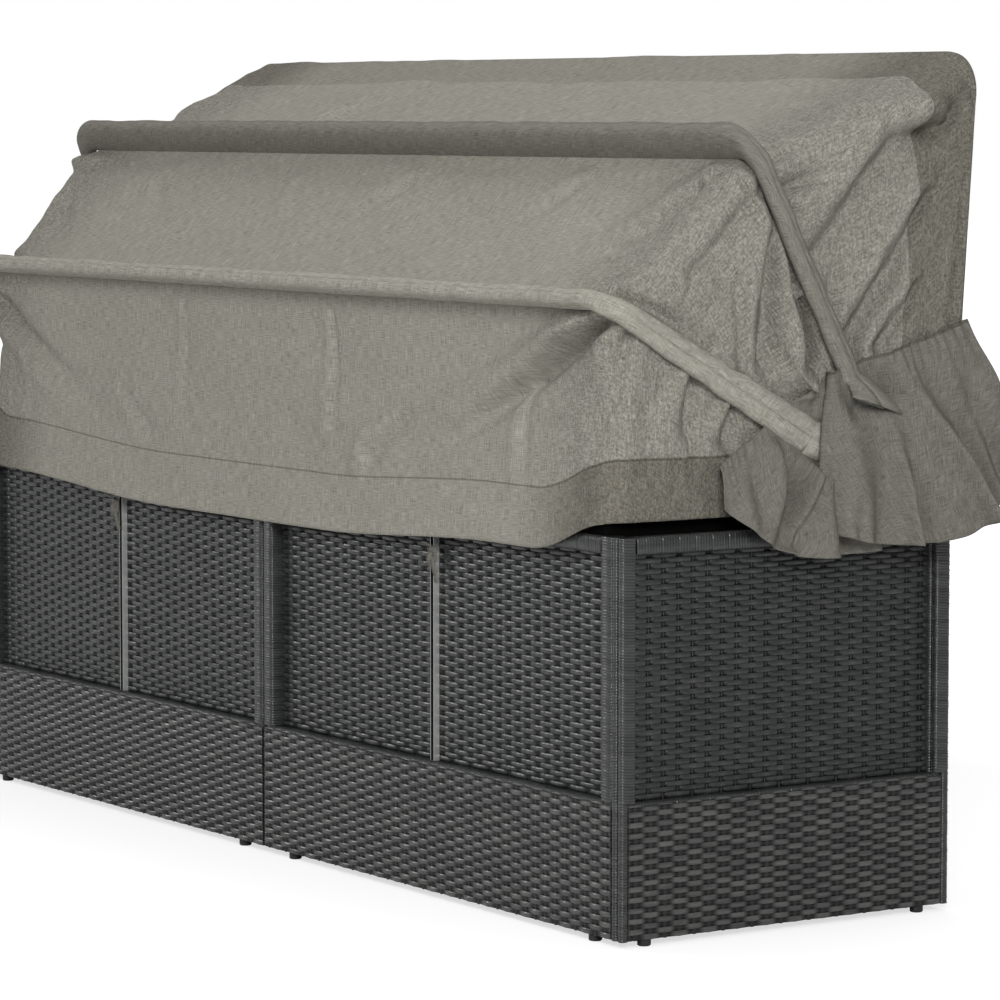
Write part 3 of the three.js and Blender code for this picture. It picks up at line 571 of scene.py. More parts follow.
def canvas_material(name, tone_and_painted_light, crinkle, bands):
    """Heathered canvas: slubs in two greys, a fine weave, and hems of the given widths. The first factor
    scales the colour, for lit and shaded copies; crinkles near the ends and the double hems get painted
    shade.
    """
    material, tree, shader = new_material(name)
    threads = shader_node(tree, "UVMap", uv_map="threads").outputs["UV"]
    hems = shader_node(tree, "UVMap", uv_map="hems").outputs["UV"]
    place = shader_node(tree, "TexCoord").outputs["Object"]

    def maths(operation, first, second):
        return shader_node(tree, "Math", {0: first, 1: second}, operation=operation).outputs[0]

    warp = stretched_noise(tree, threads, (46, 1000, 1), 3)
    weft = stretched_noise(tree, threads, (900, 40, 1), 3)
    heather = maths("ADD", warp, weft)
    dark = tuple(c * tone_and_painted_light for c in (0.160, 0.151, 0.126))
    light = tuple(c * tone_and_painted_light for c in (0.400, 0.384, 0.336))
    colour = colour_mix(tree, remap(tree, heather, (0.72, 1.28)), dark, light)
    along = shader_node(tree, "SeparateXYZ", {0: place}).outputs["X"]
    near_end = remap(tree, maths("ABSOLUTE", along, 0), (0.74, 0.92))
    sockets = {"Vector": place, "Scale": 250, "Detail": 2, "Distortion": 0.6}
    crumple = shader_node(tree, "TexNoise", sockets).outputs["Fac"]
    # Painted shade: near the ends the colour darkens with the crumple bump's noise, shade in the
    # crinkles.
    crinkle_painted_shade = colour_mix(tree, remap(tree, crumple, (0.38, 0.62)), (0.66, 0.66, 0.66), (1.04, 1.04, 1.04))
    colour = colour_mix(tree, maths("MULTIPLY", near_end, crinkle), colour, crinkle_painted_shade, "MULTIPLY")
    # Painted shade: the double-ply hems are darkened, in place of the light that comes through one ply;
    # the front hem only partly away from the ends.
    from_front, from_back = shader_node(tree, "SeparateXYZ", {0: hems}).outputs[:2]
    front = maths("LESS_THAN", from_front, bands[0])
    front = maths("MULTIPLY", front, remap(tree, near_end, (0, 1), (0.42, 1)))
    back = maths("MULTIPLY", maths("LESS_THAN", from_back, bands[1]), near_end)
    colour = colour_mix(tree, maths("MAXIMUM", front, back), colour, (0.64, 0.625, 0.60), "MULTIPLY")
    sockets = {0: from_back, 1: bands[1] - 0.003, 2: 0.0013}
    stitch = shader_node(tree, "Math", sockets, operation="COMPARE").outputs[0]
    weave_bump = shader_node(tree, "Bump", {"Strength": 0.35, "Distance": 0.0006, "Height": heather})
    crumple_bump = shader_node(tree, "Bump", {
        "Strength": remap(tree, near_end, (0, 1), (0.25 * crinkle, crinkle)),
        "Distance": 0.0025,
        "Height": crumple,
        "Normal": weave_bump.outputs["Normal"],
    })
    wire(shader, {
        "Base Color": colour_mix(tree, stitch, colour, (0.62, 0.60, 0.56), "MULTIPLY"),
        "Roughness": 0.92,
        "Specular IOR Level": 0.2,
        "Normal": crumple_bump.outputs["Normal"],
    })
    return material


canvas = canvas_material("heathered_canvas", 1.0, 1.0, (0.100, 0.092))
cloth_under = SLEEVE + 0.001


def under_sleeve(bow):
    """The cloth's line where it hangs below a bow's sleeve."""
    stations = bow_stations(
        bow["arm"] - cloth_under, bow["reach"] - bow["drop"] + 0.003,
        BOW_CORNER - cloth_under, CLOTH_START,
    )
    return on_bow(stations, bow["lean"])


rear_line = under_sleeve(BOWS["rear"])
middle_line = under_sleeve(BOWS["middle"])
front_bow = BOWS["front"]
front_stations = bow_stations(
    front_bow["arm"] + cloth_under, front_bow["reach"] + SLEEVE + 0.0035,
    BOW_CORNER + cloth_under, CLOTH_START,
)
front_line = on_bow(front_stations, front_bow["lean"])
turn_share = front_stations[:, 2]
low_share = 1 - (front_stations[:, 1] - CLOTH_START) / (front_bow["reach"] - BOW_CORNER - CLOTH_START)
lip_ahead = 0.008 + 0.034 * np.clip(low_share, 0, 1)
lip_line = on_bow(front_stations, front_bow["lean"], lip_ahead)
hem_stations = bow_stations(
    BOWS["rear"]["arm"] - cloth_under, BACK_FACE + 0.009 - PIVOT.y, BOW_CORNER - cloth_under, CLOTH_START
)
hem_line = np.stack([
    hem_stations[:, 0], PIVOT.y + hem_stations[:, 1], np.full(len(hem_stations), PIVOT.z - 0.020)
], axis=1)
hem_x = hem_line[:, 0]
at_back = ease(hem_line[:, 1], BACK_FACE - 0.02, BACK_FACE + 0.006)
back_hem = 0.543 + 0.020 * ease(-hem_x, 0.20, 0.70) + 0.048 * ease(-hem_x, 0.80, 0.99)
back_hem += 0.027 * ease(hem_x, 0.30, 0.90) + 0.042 * ease(hem_x, 0.89, 1.0)
hem_line[:, 2] += (back_hem - hem_line[:, 2]) * at_back


def panel_grid(lines, rows, sag, pleats):
    """Rows of points from one cloth line to the next, let sag between them, with side pleats."""
    parts = []
    for upper, lower, count in zip(lines[:-1], lines[1:], rows):
        share = np.linspace(0, 1, count + 1)[:, None, None]
        part = upper[None] * (1 - share) + lower[None] * share
        eased = ease(share[..., 0], 0, 1)
        part[..., 0] = upper[:, 0] * (1 - eased) + lower[:, 0] * eased
        parts.append(part if not parts else part[1:])
    grid = np.concatenate(parts)
    start = sum(rows[:-1])
    share = np.clip((np.arange(len(grid)) - start) / rows[-1], 0, 1)[:, None]
    side = 1 - turn_share[None]
    hang = np.sin(math.pi * share) * sag * (1 - side / 2)
    hang += side * pleats[1] * np.sin(math.pi * share) * np.sin(math.pi * pleats[0] * share) ** 2
    return grid - outward(grid) * hang[..., None]


# Creases on the end panels, from each bow's sleeve down: a route of distances back and up in the
# frame, then the crease's width, its depth and its strength at either end
END_CREASES = {
    "canopy_front_cloth": [
        ([(0.068, 1.125), (0.032, 1.144), (-0.008, 1.158)], 0.010, 0.014, (1, 0.2)),
        ([(0.044, 1.085), (0.004, 1.100), (-0.030, 1.110)], 0.011, 0.013, (1, 0.2)),
        ([(-0.192, 1.175), (-0.136, 1.158), (-0.072, 1.063), (-0.020, 0.984)], 0.016, 0.020, (1, 0.6)),
        ([(-0.240, 1.204), (-0.184, 1.157), (-0.128, 1.114), (-0.090, 1.070)], 0.017, 0.020, (1, 0.2)),
        ([(-0.193, 1.077), (-0.163, 1.024), (-0.119, 0.939), (-0.074, 0.853)], 0.013, 0.020, (0.6, 1)),
        ([(-0.175, 0.945), (-0.126, 0.855)], 0.009, 0.014, (0.5, 1)),
        ([(-0.060, 1.000), (-0.040, 0.900), (-0.060, 0.840)], 0.012, 0.012, (0.3, 1)),
    ],
    "canopy_middle_cloth": [
        ([(0.076, 1.096), (0.117, 1.047), (0.184, 0.964)], 0.012, 0.018, (1, 0.2)),
        ([(0.076, 1.097), (0.052, 1.039), (0.060, 0.920), (0.058, 0.837)], 0.014, 0.024, (1, 0.6)),
        ([(0.036, 1.027), (0.012, 0.930), (-0.017, 0.835)], 0.010, 0.022, (1, 0.9)),
        ([(-0.001, 0.925), (-0.024, 0.829)], 0.008, 0.016, (1, 1)),
        ([(0.110, 0.950), (0.103, 0.840), (0.110, 0.790)], 0.013, 0.014, (0.3, 1)),
        ([(0.295, 0.942), (0.139, 0.852)], 0.012, 0.016, (1, 0.3)),
    ],
    "canopy_back_cloth": [
        ([(0.296, 0.884), (0.308, 0.803), (0.328, 0.724)], 0.014, 0.012, (1, 0.6)),
        ([(0.180, 0.830), (0.190, 0.740)], 0.012, 0.014, (1, 0.5)),
        ([(0.110, 0.780), (0.120, 0.720)], 0.010, 0.014, (1, 0.5)),
    ],
}
# Creases on the long panels, in the same way, as distances along the bench and up
LONG_CREASES = {
    "canopy_front_cloth": [
        ([(0.250, 1.250), (0.420, 1.190)], 0.014, 0.008, (0.4, 1)),
    ],
    "canopy_middle_cloth": [
        ([(-0.150, 1.080), (-0.060, 1.020)], 0.012, 0.008, (1, 0)),
        ([(-0.620, 1.080), (-0.520, 1.010)], 0.014, 0.008, (1, 0)),
        ([(-0.930, 1.080), (-0.840, 1.000), (-0.800, 0.960)], 0.016, 0.012, (1, 0)),
    ],
    "canopy_back_cloth": [
        ([(-1.005, 0.922), (-0.891, 0.864), (-0.787, 0.811), (-0.696, 0.766), (-0.597, 0.724),
          (-0.480, 0.690)], 0.017, 0.048, (1, 0.02)),
        ([(-0.769, 0.803), (-0.761, 0.733), (-0.761, 0.666)], 0.010, 0.009, (1, 0.4)),
        ([(-0.439, 0.740), (-0.381, 0.702), (-0.331, 0.663)], 0.012, 0.009, (0.5, 1)),
        ([(-0.210, 0.890), (-0.216, 0.796), (-0.218, 0.703)], 0.010, 0.007, (1, 0.6)),
    ],
}


def dressed(name, grid, seed, taut):
    """Adds a panel's creases and its small soft wrinkles to its grid, but for its taut rows."""
    out = outward(grid)
    lift = np.zeros(grid.shape[:2])
    reach = np.abs(grid[..., 0])
    for route, width, depth, ends in END_CREASES[name]:
        lift += 1.5 * fold(grid, [1, 2], route, width, depth, ends) * ease(reach, 0.90, 0.96)
    for route, width, depth, ends in LONG_CREASES[name]:
        mirrored = [(0.05 - x, z) for x, z in route]
        flat = fold(grid, [0, 2], route, width, depth, ends)
        flat += fold(grid, [0, 2], mirrored, width, 0.6 * depth, ends)
        lift += flat * (1 - ease(reach, 0.965, 0.990))
    lift += soft_noise(grid, (5, 9, 9), seed) * 0.007
    lift += soft_noise(grid, (14, 40, 26), seed + 5) * (0.0022 + 0.0016 * ease(reach, 0.8, 0.95))
    row = np.arange(len(grid))
    free = np.min([np.abs(row - fixed) for fixed in taut], axis=0)[:, None] / 6
    return grid + out * (lift * np.clip(free, 0, 1))[..., None]


def canopy_panel(name, lines, rows, sag, pleats, seed, taut, hems):
    """One panel between its lines, with its creases, its hems and the node that it stands for."""
    title = f"canopy_{name}_cloth"
    grid = panel_grid(lines, rows, sag, pleats)
    cloth = cloth_piece(title, dressed(title, grid, seed, taut), canvas, *hems, grid)
    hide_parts(f"canopy_{name}_panel")
    return cloth


front_cloth = canopy_panel(
    "front", [lip_line, front_line, middle_line], (8, 64), 0.009, (3, 0.004), 3, (0, 8, 72), (True, False)
)
middle_cloth = canopy_panel(
    "middle", [middle_line, rear_line], (64,), 0.009, (3, 0.003), 11, (0, 64), (False, False)
)
back_cloth = canopy_panel(
    "back", [rear_line, hem_line], (68,), 0.010, (2, 0.004), 19, (0,), (False, True)
)


def fold_zone(piece, lean):
    """Bakes a panel's placement into its mesh."""
    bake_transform(piece)


fold_zone(back_cloth, BOWS["rear"]["lean"])
fold_zone(middle_cloth, math.radians(44))
fold_zone(front_cloth, math.radians(9.5))

# Bow sleeves: a strip of the same canvas folded over each tube and stitched down along its
# inner side, so that it stands up from the cloth as a fin. The middle one ends in a cap that
# is pressed flat to a point, the rear one in a stitched band.
# Lit and shaded copies of the canvas: painted light on the rear and front sleeves, painted shade on the
# middle one.
painted_light_sleeve_canvas = canvas_material("painted_light_sleeve_canvas", 1.15, 0.3, (0, 0))
painted_shade_canvas = canvas_material("painted_shade_sleeve_canvas", 0.68, 0.3, (0, 0))
# Rings past the end of a sleeve: how far, half width, half depth, shift back, slant and lift
SLEEVE_ENDS = {
    "rear": [
        (0.002, 0.0250, 0.0110, -0.001, 0.002, 0.001), (0.005, 0.0285, 0.0135, -0.001, 0.003, 0.002),
        (0.034, 0.0285, 0.0125, -0.001, 0.005, 0.005), (0.037, 0.0245, 0.0100, -0.001, 0.005, 0.005),
        (0.028, 0.0080, 0.0040, -0.001, 0.002, 0.003),
    ],
    "middle": [
        (0.006, 0.0155, 0.0130, 0.002, 0.001, 0.008), (0.014, 0.0185, 0.0135, 0.002, 0.004, 0.014),
        (0.026, 0.0240, 0.0135, 0.001, 0.013, 0.022), (0.038, 0.0300, 0.0120, 0.001, 0.024, 0.029),
        (0.048, 0.0340, 0.0100, 0.002, 0.034, 0.034), (0.046, 0.0305, 0.0060, 0.002, 0.032, 0.030),
        (0.036, 0.0220, 0.0020, 0.001, 0.020, 0.021), (0.020, 0.0100, 0.0010, 0.001, 0.008, 0.010),
    ],
    "front": [],
}


def sleeve_piece(name, bow, start, radius, loose):
    """A tube of cloth round a bow, drawn to a fin on its inner side along the crossbar."""
    stations = bow_stations(bow["arm"], bow["reach"], BOW_CORNER, start)
    centre = on_bow(stations, bow["lean"])
    along = np.gradient(centre, axis=0)
    along /= np.linalg.norm(along, axis=1)[:, None]
    across = np.array((0, math.cos(bow["lean"]), -math.sin(bow["lean"])))
    out = np.cross(along, across)
    sides = 20
    turns = 2 * math.pi * np.arange(sides + 1) / sides
    crossbar = np.sin(math.pi / 2 * stations[:, 2])
    depth = radius + 0.003 + (bow["drop"] - radius) * crossbar
    arm_share = np.clip((stations[:, 1] - start) / (bow["reach"] - BOW_CORNER - start), 0, 1)
    wider = (1 - 0.65 * arm_share) * (1 - crossbar)
    grid = np.zeros((len(stations), sides + 1, 3))
    for k, turn in enumerate(turns):
        reach = radius * math.cos(turn) if math.cos(turn) > 0 else depth * math.cos(turn)
        wide = radius * math.sin(turn)
        if math.cos(turn) < 0:
            wide = wide * (1 - 0.82 * crossbar * math.cos(turn) ** 2)
        widening = loose[0] if math.sin(turn) > 0 else loose[1]
        wide = wide * (1 + widening * wider)
        grid[:, k] = centre + out * np.reshape(reach, (-1, 1)) + across * np.reshape(wide, (-1, 1))
    if name != "front":
        ripple = soft_noise(grid[:, :-1], (22, 30, 30), 41) * 0.0022
        ripple = np.concatenate([ripple, ripple[:, :1]], axis=1)
        outwards = grid - centre[:, None]
        outwards /= np.linalg.norm(outwards, axis=2)[..., None]
        grid = grid + outwards * ripple[..., None]
    for end, step in ((0, -1), (-1, 1)):
        rings = []
        for beyond, wide, deep, shift, slant, rise in SLEEVE_ENDS[name]:
            ring = []
            for turn in turns:
                past = beyond - slant * math.sin(turn)
                point = centre[end] + step * along[end] * past + across * (shift + wide * math.sin(turn))
                ring.append(point + out[end] * (rise + deep * math.cos(turn)))
            rings.append(ring)
        if rings:
            grid = np.concatenate([rings[::-1], grid] if end == 0 else [grid, rings])
    canvas_here = painted_shade_canvas if name == "middle" else painted_light_sleeve_canvas
    piece = cloth_piece(f"{name}_bow_sleeve", grid, canvas_here)
    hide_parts(f"{name}_sleeve")
    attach(piece, f"{name}_arch")


sleeve_piece("rear", BOWS["rear"], 0.187, SLEEVE, (1.1, 1.2))
sleeve_piece("middle", BOWS["middle"], 0.205, SLEEVE, (0.6, 0))
sleeve_piece("front", BOWS["front"], 0.25, 0.0112, (0, 0))

# Flounces: a gathered skirt of the same canvas over each pivot, in two overlapping lobes that
# hide the bracket and flare out in soft folds.
# Each lobe is cut between four points along its top and four along its hem, as distances back
# and up from the pivot, and its folds run along routes in the same plane.
LOBES = {
    "rear": {
        "top": [(0.322, 0.056), (0.268, 0.090), (0.205, 0.138), (0.100, 0.196)],
        "bottom": [(0.336, -0.004), (0.275, -0.052), (0.190, -0.080), (0.050, -0.078)],
        "top_out": [-0.014, -0.014, -0.005, 0.002], "flare": [0.046, 0.046, 0.038, 0.020],
        "folds": [
            ([(0.128, 0.165), (0.152, 0.100), (0.172, 0.034), (0.215, -0.040), (0.235, -0.085)],
             0.009, -0.034, (0.7, 1)),
            ([(0.212, 0.118), (0.206, 0.060), (0.206, 0.000), (0.222, -0.060)], 0.013, 0.034, (0.8, 1)),
            ([(0.285, 0.060), (0.292, 0.020), (0.300, -0.030)], 0.013, -0.016, (0.2, 1)),
            ([(0.180, 0.150), (0.140, 0.158), (0.110, 0.168)], 0.007, -0.014, (1, 1)),
            ([(0.110, 0.120), (0.120, 0.040), (0.120, -0.070)], 0.012, 0.024, (1, 1)),
        ],
        "over": BOWS["rear"], "flat": (0.28, 0.24),
    },
    "front": {
        "top": [(0.138, 0.187), (0.070, 0.209), (0.000, 0.234), (-0.082, 0.262)],
        "bottom": [(0.176, -0.041), (0.065, -0.066), (-0.075, -0.052), (-0.190, 0.041)],
        "top_out": [-0.009, -0.002, 0.026, 0.029], "flare": [0.026, 0.032, 0.036, 0.030],
        "folds": [
            ([(-0.100, -0.030), (-0.074, 0.024), (-0.034, 0.090), (0.009, 0.153), (0.047, 0.217)],
             0.013, -0.044, (1, 0.45)),
            ([(0.022, -0.080), (0.031, 0.014), (0.045, 0.088), (0.064, 0.148)], 0.011, -0.032, (1, 0.2)),
            ([(0.100, -0.070), (0.098, 0.030), (0.104, 0.110)], 0.018, -0.018, (1, 0.2)),
            ([(-0.150, 0.000), (-0.105, 0.100), (-0.060, 0.200)], 0.013, 0.024, (1, 0.3)),
            ([(0.150, -0.060), (0.146, 0.040), (0.140, 0.140)], 0.013, 0.020, (1, 0.5)),
        ],
        "over": BOWS["middle"], "flat": (0.34, 0.27),
    },
}
SLEEVE_END = 0.160
# Painted shade: the flounces take a darker copy of the canvas.
painted_shade_flounce_canvas = canvas_material("painted_shade_flounce_canvas", 0.55, 0.35, (0.005, 0))


def smooth_route(shares, count):
    """Points on a smooth line through four given ones."""
    control = np.array(shares, float)
    padded = np.vstack([2 * control[0] - control[1], control, 2 * control[-1] - control[-2]])
    points = []
    for i in range(count):
        place = i / (count - 1) * (len(control) - 1)
        k = min(int(place), len(control) - 2)
        t = place - k
        a, b, c, d = padded[k:k + 4]
        points.append(0.5 * (
            2 * b + (c - a) * t + (2 * a - 5 * b + 4 * c - d) * t * t + (3 * b - a - 3 * c + d) * t ** 3
        ))
    return np.array(points)


for side, sign in SIDES:
    for lobe, cut in LOBES.items():
        arm, lean = cut["over"]["arm"], cut["over"]["lean"]
        columns, rows = 130, 80
        top = smooth_route([(*p, o, 0) for p, o in zip(cut["top"], cut["top_out"])], columns)
        hem = zip(cut["bottom"], cut["top_out"], cut["flare"])
        bottom = smooth_route([(*p, o + flare, flare) for p, o, flare in hem], columns)
        base = arm + SLEEVE + 0.003
        down = np.linspace(0, 1, rows)[:, None, None]
        flat = top[None] * (1 - down) + bottom[None] * down
        fall = down[..., 0] ** 0.8
        out = top[None, :, 2] + bottom[None, :, 3] * fall
        spread = 0.35 + 0.65 * fall
        for route, width, depth, ends in cut["folds"]:
            out = out + fold(flat, [0, 1], route, width, depth, ends) * spread
        along = np.linspace(0, 1, columns)[None]
        gathers = np.sin(2 * math.pi * (15 * along + 0.4 * np.sin(9 * along))) * np.exp(-down[..., 0] * 7)
        out = out + 0.0022 * gathers
        if lobe == "front":
            out = out - 0.016 * np.clip(1 - along / 0.05, 0, 1) ** 2
        towards = np.array((math.sin(lean), math.cos(lean)))
        up_bow = flat[..., :2] @ towards
        beside = np.abs(flat[..., 0] * towards[1] - flat[..., 1] * towards[0])
        sunk = (1 - ease(beside, 0.022, 0.052)) * ease(up_bow, SLEEVE_END - 0.024, SLEEVE_END)
        out = out + (np.minimum(out, -0.012) - out) * sunk
        grid = np.stack([sign * (base + out), PIVOT.y + flat[..., 0], PIVOT.z + flat[..., 1]], axis=2)
        grid[..., 0] += sign * soft_noise(grid, (9, 24, 12), 60 + sign) * 0.006 * (1 - sunk)
        grid[..., 1] += soft_noise(grid, (9, 30, 14), 70 + sign) * 0.004 * fall
        piece = cloth_piece(f"{lobe}_flounce_{side}", grid, painted_shade_flounce_canvas, front_hem=lobe == "front")
        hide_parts(f"flounce_{lobe}_{side}")
        if lobe == "rear":
            fold_zone(piece, lean)
        else:
            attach(piece, "front_arch")

# Painted shade: a black strip of plain cloth hung inside the side hem, which fills the shaded gap above
# the end wall with black; its last bit turns the back corner.
SHADE_SHEET_LENGTH = 0.365
SHADE_SHEET_HEIGHT = 0.045
SHADE_SHEET_CORNER = 0.320
painted_shade_cloth, tree, shader = new_material("painted_shade_cloth")
threads = shader_node(tree, "UVMap", uv_map="threads").outputs["UV"]
grain = shader_node(tree, "TexNoise", {"Vector": threads, "Scale": 700}).outputs["Fac"]
wire(shader, {
    "Base Color": colour_mix(tree, grain, (0.0020, 0.0020, 0.0019), (0.0055, 0.0055, 0.0052)),
    "Roughness": 1,
    "Specular IOR Level": 0,
})
for side, sign in SIDES:
    grid = np.zeros((14, 60, 3))
    for i in range(14):
        for j in range(60):
            along = SHADE_SHEET_LENGTH * j / 59
            fall = (SHADE_SHEET_HEIGHT + 0.003 * math.sin(40 * along)) * i / 13
            x = 0.9675 + 0.0012 * math.sin(17 * along + 0.3 * i) - max(0, along - SHADE_SHEET_CORNER)
            grid[i, j] = (sign * x, min(along, SHADE_SHEET_CORNER), 0.624 - fall)
    piece = cloth_piece(f"shade_sheet_{side}", grid, painted_shade_cloth)
    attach(piece, "bench")

# Tie ribbons: a narrow tape of the canopy's canvas, sewn to the hem and knotted round the bar
# in the middle of each back, with one loop and one tail.
RIBBON_WIDTH = 0.0047
ribbon_canvas = canvas_material("ribbon_canvas", 0.50, 0.3, (0, 0))
for side in ("left", "right"):
    low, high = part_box(f"tie_ribbon_{side}")
    middle_x = (low.x + high.x) / 2
    front_y = high.y - 0.001
    runs = [
        [(0.000, 0.548), (-0.001, 0.541), (0.000, 0.536)],
        [(0.000, 0.537), (-0.008, 0.536), (-0.0095, 0.524), (-0.006, 0.520), (-0.001, 0.532)],
        [(0.001, 0.536), (-0.002, 0.524), (-0.008, 0.508), (-0.013, 0.497), (-0.015, 0.488)],
        [(0.001, 0.535), (0.005, 0.522), (0.006, 0.510)],
    ]
    bm = bmesh.new()
    threads = bm.loops.layers.uv.new("threads")
    hems = bm.loops.layers.uv.new("hems")
    length = 0
    for number, run in enumerate(runs):
        rail = smooth_route([(x, z, 0) for x, z in run], 8 * len(run)) if len(run) > 2 else np.array(run)
        before = None
        for k, point in enumerate(rail):
            share = k / (len(rail) - 1)
            ahead = rail[min(k + 1, len(rail) - 1)] - rail[max(k - 1, 0)]
            ahead = ahead / (np.linalg.norm(ahead) + 1e-9)
            across = np.array((-ahead[1], ahead[0])) * RIBBON_WIDTH
            depth = front_y + 0.0015 * math.sin(math.pi * share) * (number + 1) / 2
            depth -= 0.0165 * min(1, max(0, (0.548 - point[1]) / 0.010))
            pair = []
            for s in (-1, 0, 1):
                x, z = point[:2] + s * across
                pair.append(bm.verts.new((middle_x + x, depth + 0.0006 * s, z)))
            if before:
                step = float(np.linalg.norm(point[:2] - rail[k - 1][:2]))
                for s in (0, 1):
                    face = bm.faces.new((before[s], before[s + 1], pair[s + 1], pair[s]))
                    spots = ((s, length), (s + 1, length), (s + 1, length + step), (s, length + step))
                    for loop, (u, w) in zip(face.loops, spots):
                        loop[threads].uv = (u * RIBBON_WIDTH, w)
                        loop[hems].uv = (1, 1)
                length += step
            before = pair
    knot = bmesh.ops.create_uvsphere(bm, u_segments=18, v_segments=12, radius=0.0052)["verts"]
    for v in knot:
        lump = 1 + 0.35 * noise.noise(v.co * 320) + 0.18 * math.sin(v.co.z * 1900 + v.co.x * 700)
        v.co = Vector((v.co.x * lump * 1.15, v.co.y * lump * 0.55, v.co.z * lump))
        v.co += Vector((middle_x, front_y - 0.0155, 0.5365))
    bmesh.ops.recalc_face_normals(bm, faces=bm.faces)
    ribbon = new_piece(f"hem_ribbon_{side}", bm, ribbon_canvas, "bench", smooth=True)
    thickness = ribbon.modifiers.new("thickness", "SOLIDIFY")
    thickness.thickness = 0.0006
    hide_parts(f"tie_ribbon_{side}")


# Seat frames, bows, hardware and glides: coated or plated metal, and moulded plastic. These
# keep the shapes that they come with, and get their finishes here.
def plain_material(name, dark, light, scale, gloss, bump_height, metallic=0, coat=0):
    """Coated, plated or moulded stuff: two close tones, uneven gloss and a fine skin."""
    material, tree, shader = new_material(name)
    place = shader_node(tree, "TexCoord").outputs["Object"]
    cloud = shader_node(tree, "TexNoise", {"Vector": place, "Scale": scale, "Detail": 4}).outputs["Fac"]
    skin = shader_node(tree, "TexNoise", {"Vector": place, "Scale": 1400}).outputs["Fac"]
    bump = shader_node(tree, "Bump", {"Strength": 0.3, "Distance": bump_height, "Height": skin})
    wire(shader, {
        "Base Color": colour_mix(tree, cloud, dark, light),
        "Metallic": metallic,
        "Roughness": remap(tree, cloud, (0.3, 0.7), gloss),
        "Coat Weight": coat,
        "Coat Roughness": 0.2,
        "Normal": bump.outputs["Normal"],
    })
    return material


powder_coat = plain_material(
    "powder_coat", (0.018, 0.018, 0.019), (0.030, 0.031, 0.032), 40, (0.38, 0.55), 0.0003, coat=0.3
)
pale_metal = plain_material(
    "pale_bar_metal", (0.42, 0.43, 0.42), (0.62, 0.63, 0.61), 25, (0.30, 0.42), 0.0001, metallic=0.6
)
# Painted shade: near black for the inside faces of the back channels.
channel_painted_shade = plain_material(
    "channel_painted_shade", (0.002, 0.002, 0.002), (0.004, 0.004, 0.004), 30, (0.85, 0.95), 0.0001
)
zinc = plain_material(
    "zinc_plate", (0.46, 0.47, 0.49), (0.66, 0.67, 0.69), 160, (0.26, 0.44), 0.0001, metallic=1
)
glide_plastic = plain_material(
    "glide_black", (0.010, 0.010, 0.010), (0.018, 0.018, 0.018), 120, (0.4, 0.55), 0.0002
)
deck_strand = strand_material("deck_strand", (0.020, 0.021, 0.020), (0.045, 0.047, 0.044))
for name, part in frame["nodes"].items():
    dressing = None
    if name.startswith("glide_"):
        dressing = glide_plastic
    elif name.startswith(("canopy_bracket", "pivot_bolt", "pivot_nut")):
        dressing = zinc
    elif name.startswith("seat_frame") or name.endswith("_bow"):
        dressing = powder_coat
    elif name.startswith("seat_deck"):
        dressing = deck_strand
    if dressing:
        for material_slot in part.material_slots:
            material_slot.material = dressing

# The bar up the middle of each back: a channel of bare pale metal with its open side out, which
# the ribbons are tied round; its inside faces are painted black as painted shade.
for side in ("left", "right"):
    low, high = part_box(f"back_centre_bar_{side}")
    bm = bmesh.new()
    outline = [
        (low.x, high.y), (low.x, low.y), (high.x, low.y), (high.x, high.y),
        (high.x - 0.0012, high.y), (high.x - 0.0012, low.y + 0.0012),
        (low.x + 0.0012, low.y + 0.0012), (low.x + 0.0012, high.y),
    ]
    rings = [[bm.verts.new((x, y, z)) for x, y in outline] for z in (low.z, high.z)]
    for k in range(8):
        after = (k + 1) % 8
        face = bm.faces.new((rings[0][k], rings[0][after], rings[1][after], rings[1][k]))
        face.material_index = 1 if k in (4, 5, 6) else 0
    for ring in rings:
        for quad in ((0, 1, 6, 7), (1, 2, 5, 6), (2, 3, 4, 5)):
            bm.faces.new([ring[q] for q in quad])
    bmesh.ops.recalc_face_normals(bm, faces=bm.faces)
    bar = new_piece(f"back_channel_{side}", bm, pale_metal, "bench")
    bar.data.materials.append(channel_painted_shade)
    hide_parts(f"back_centre_bar_{side}")


# Cushions: box cushions of woven polyester over soft foam, blown up by the cloth solver, with
# piping along their edges. Both modules take the same pair.
PIPING = 0.0034
cushion_cloth, tree, shader = new_material("cushion_weave")
place = shader_node(tree, "TexCoord").outputs["Object"]
warp = stretched_noise(tree, place, (900, 60, 60), 3)
weft = stretched_noise(tree, place, (60, 900, 900), 3)
weave = shader_node(tree, "Math", {0: warp, 1: weft}, operation="ADD").outputs[0]
bump = shader_node(tree, "Bump", {"Strength": 0.35, "Distance": 0.0008, "Height": weave})
tone = remap(tree, weave, (0.75, 1.25))
wire(shader, {
    "Base Color": colour_mix(tree, tone, (0.34, 0.315, 0.262), (0.50, 0.468, 0.400)),
    "Roughness": 0.9,
    "Sheen Weight": 0.15,
    "Normal": bump.outputs["Normal"],
})


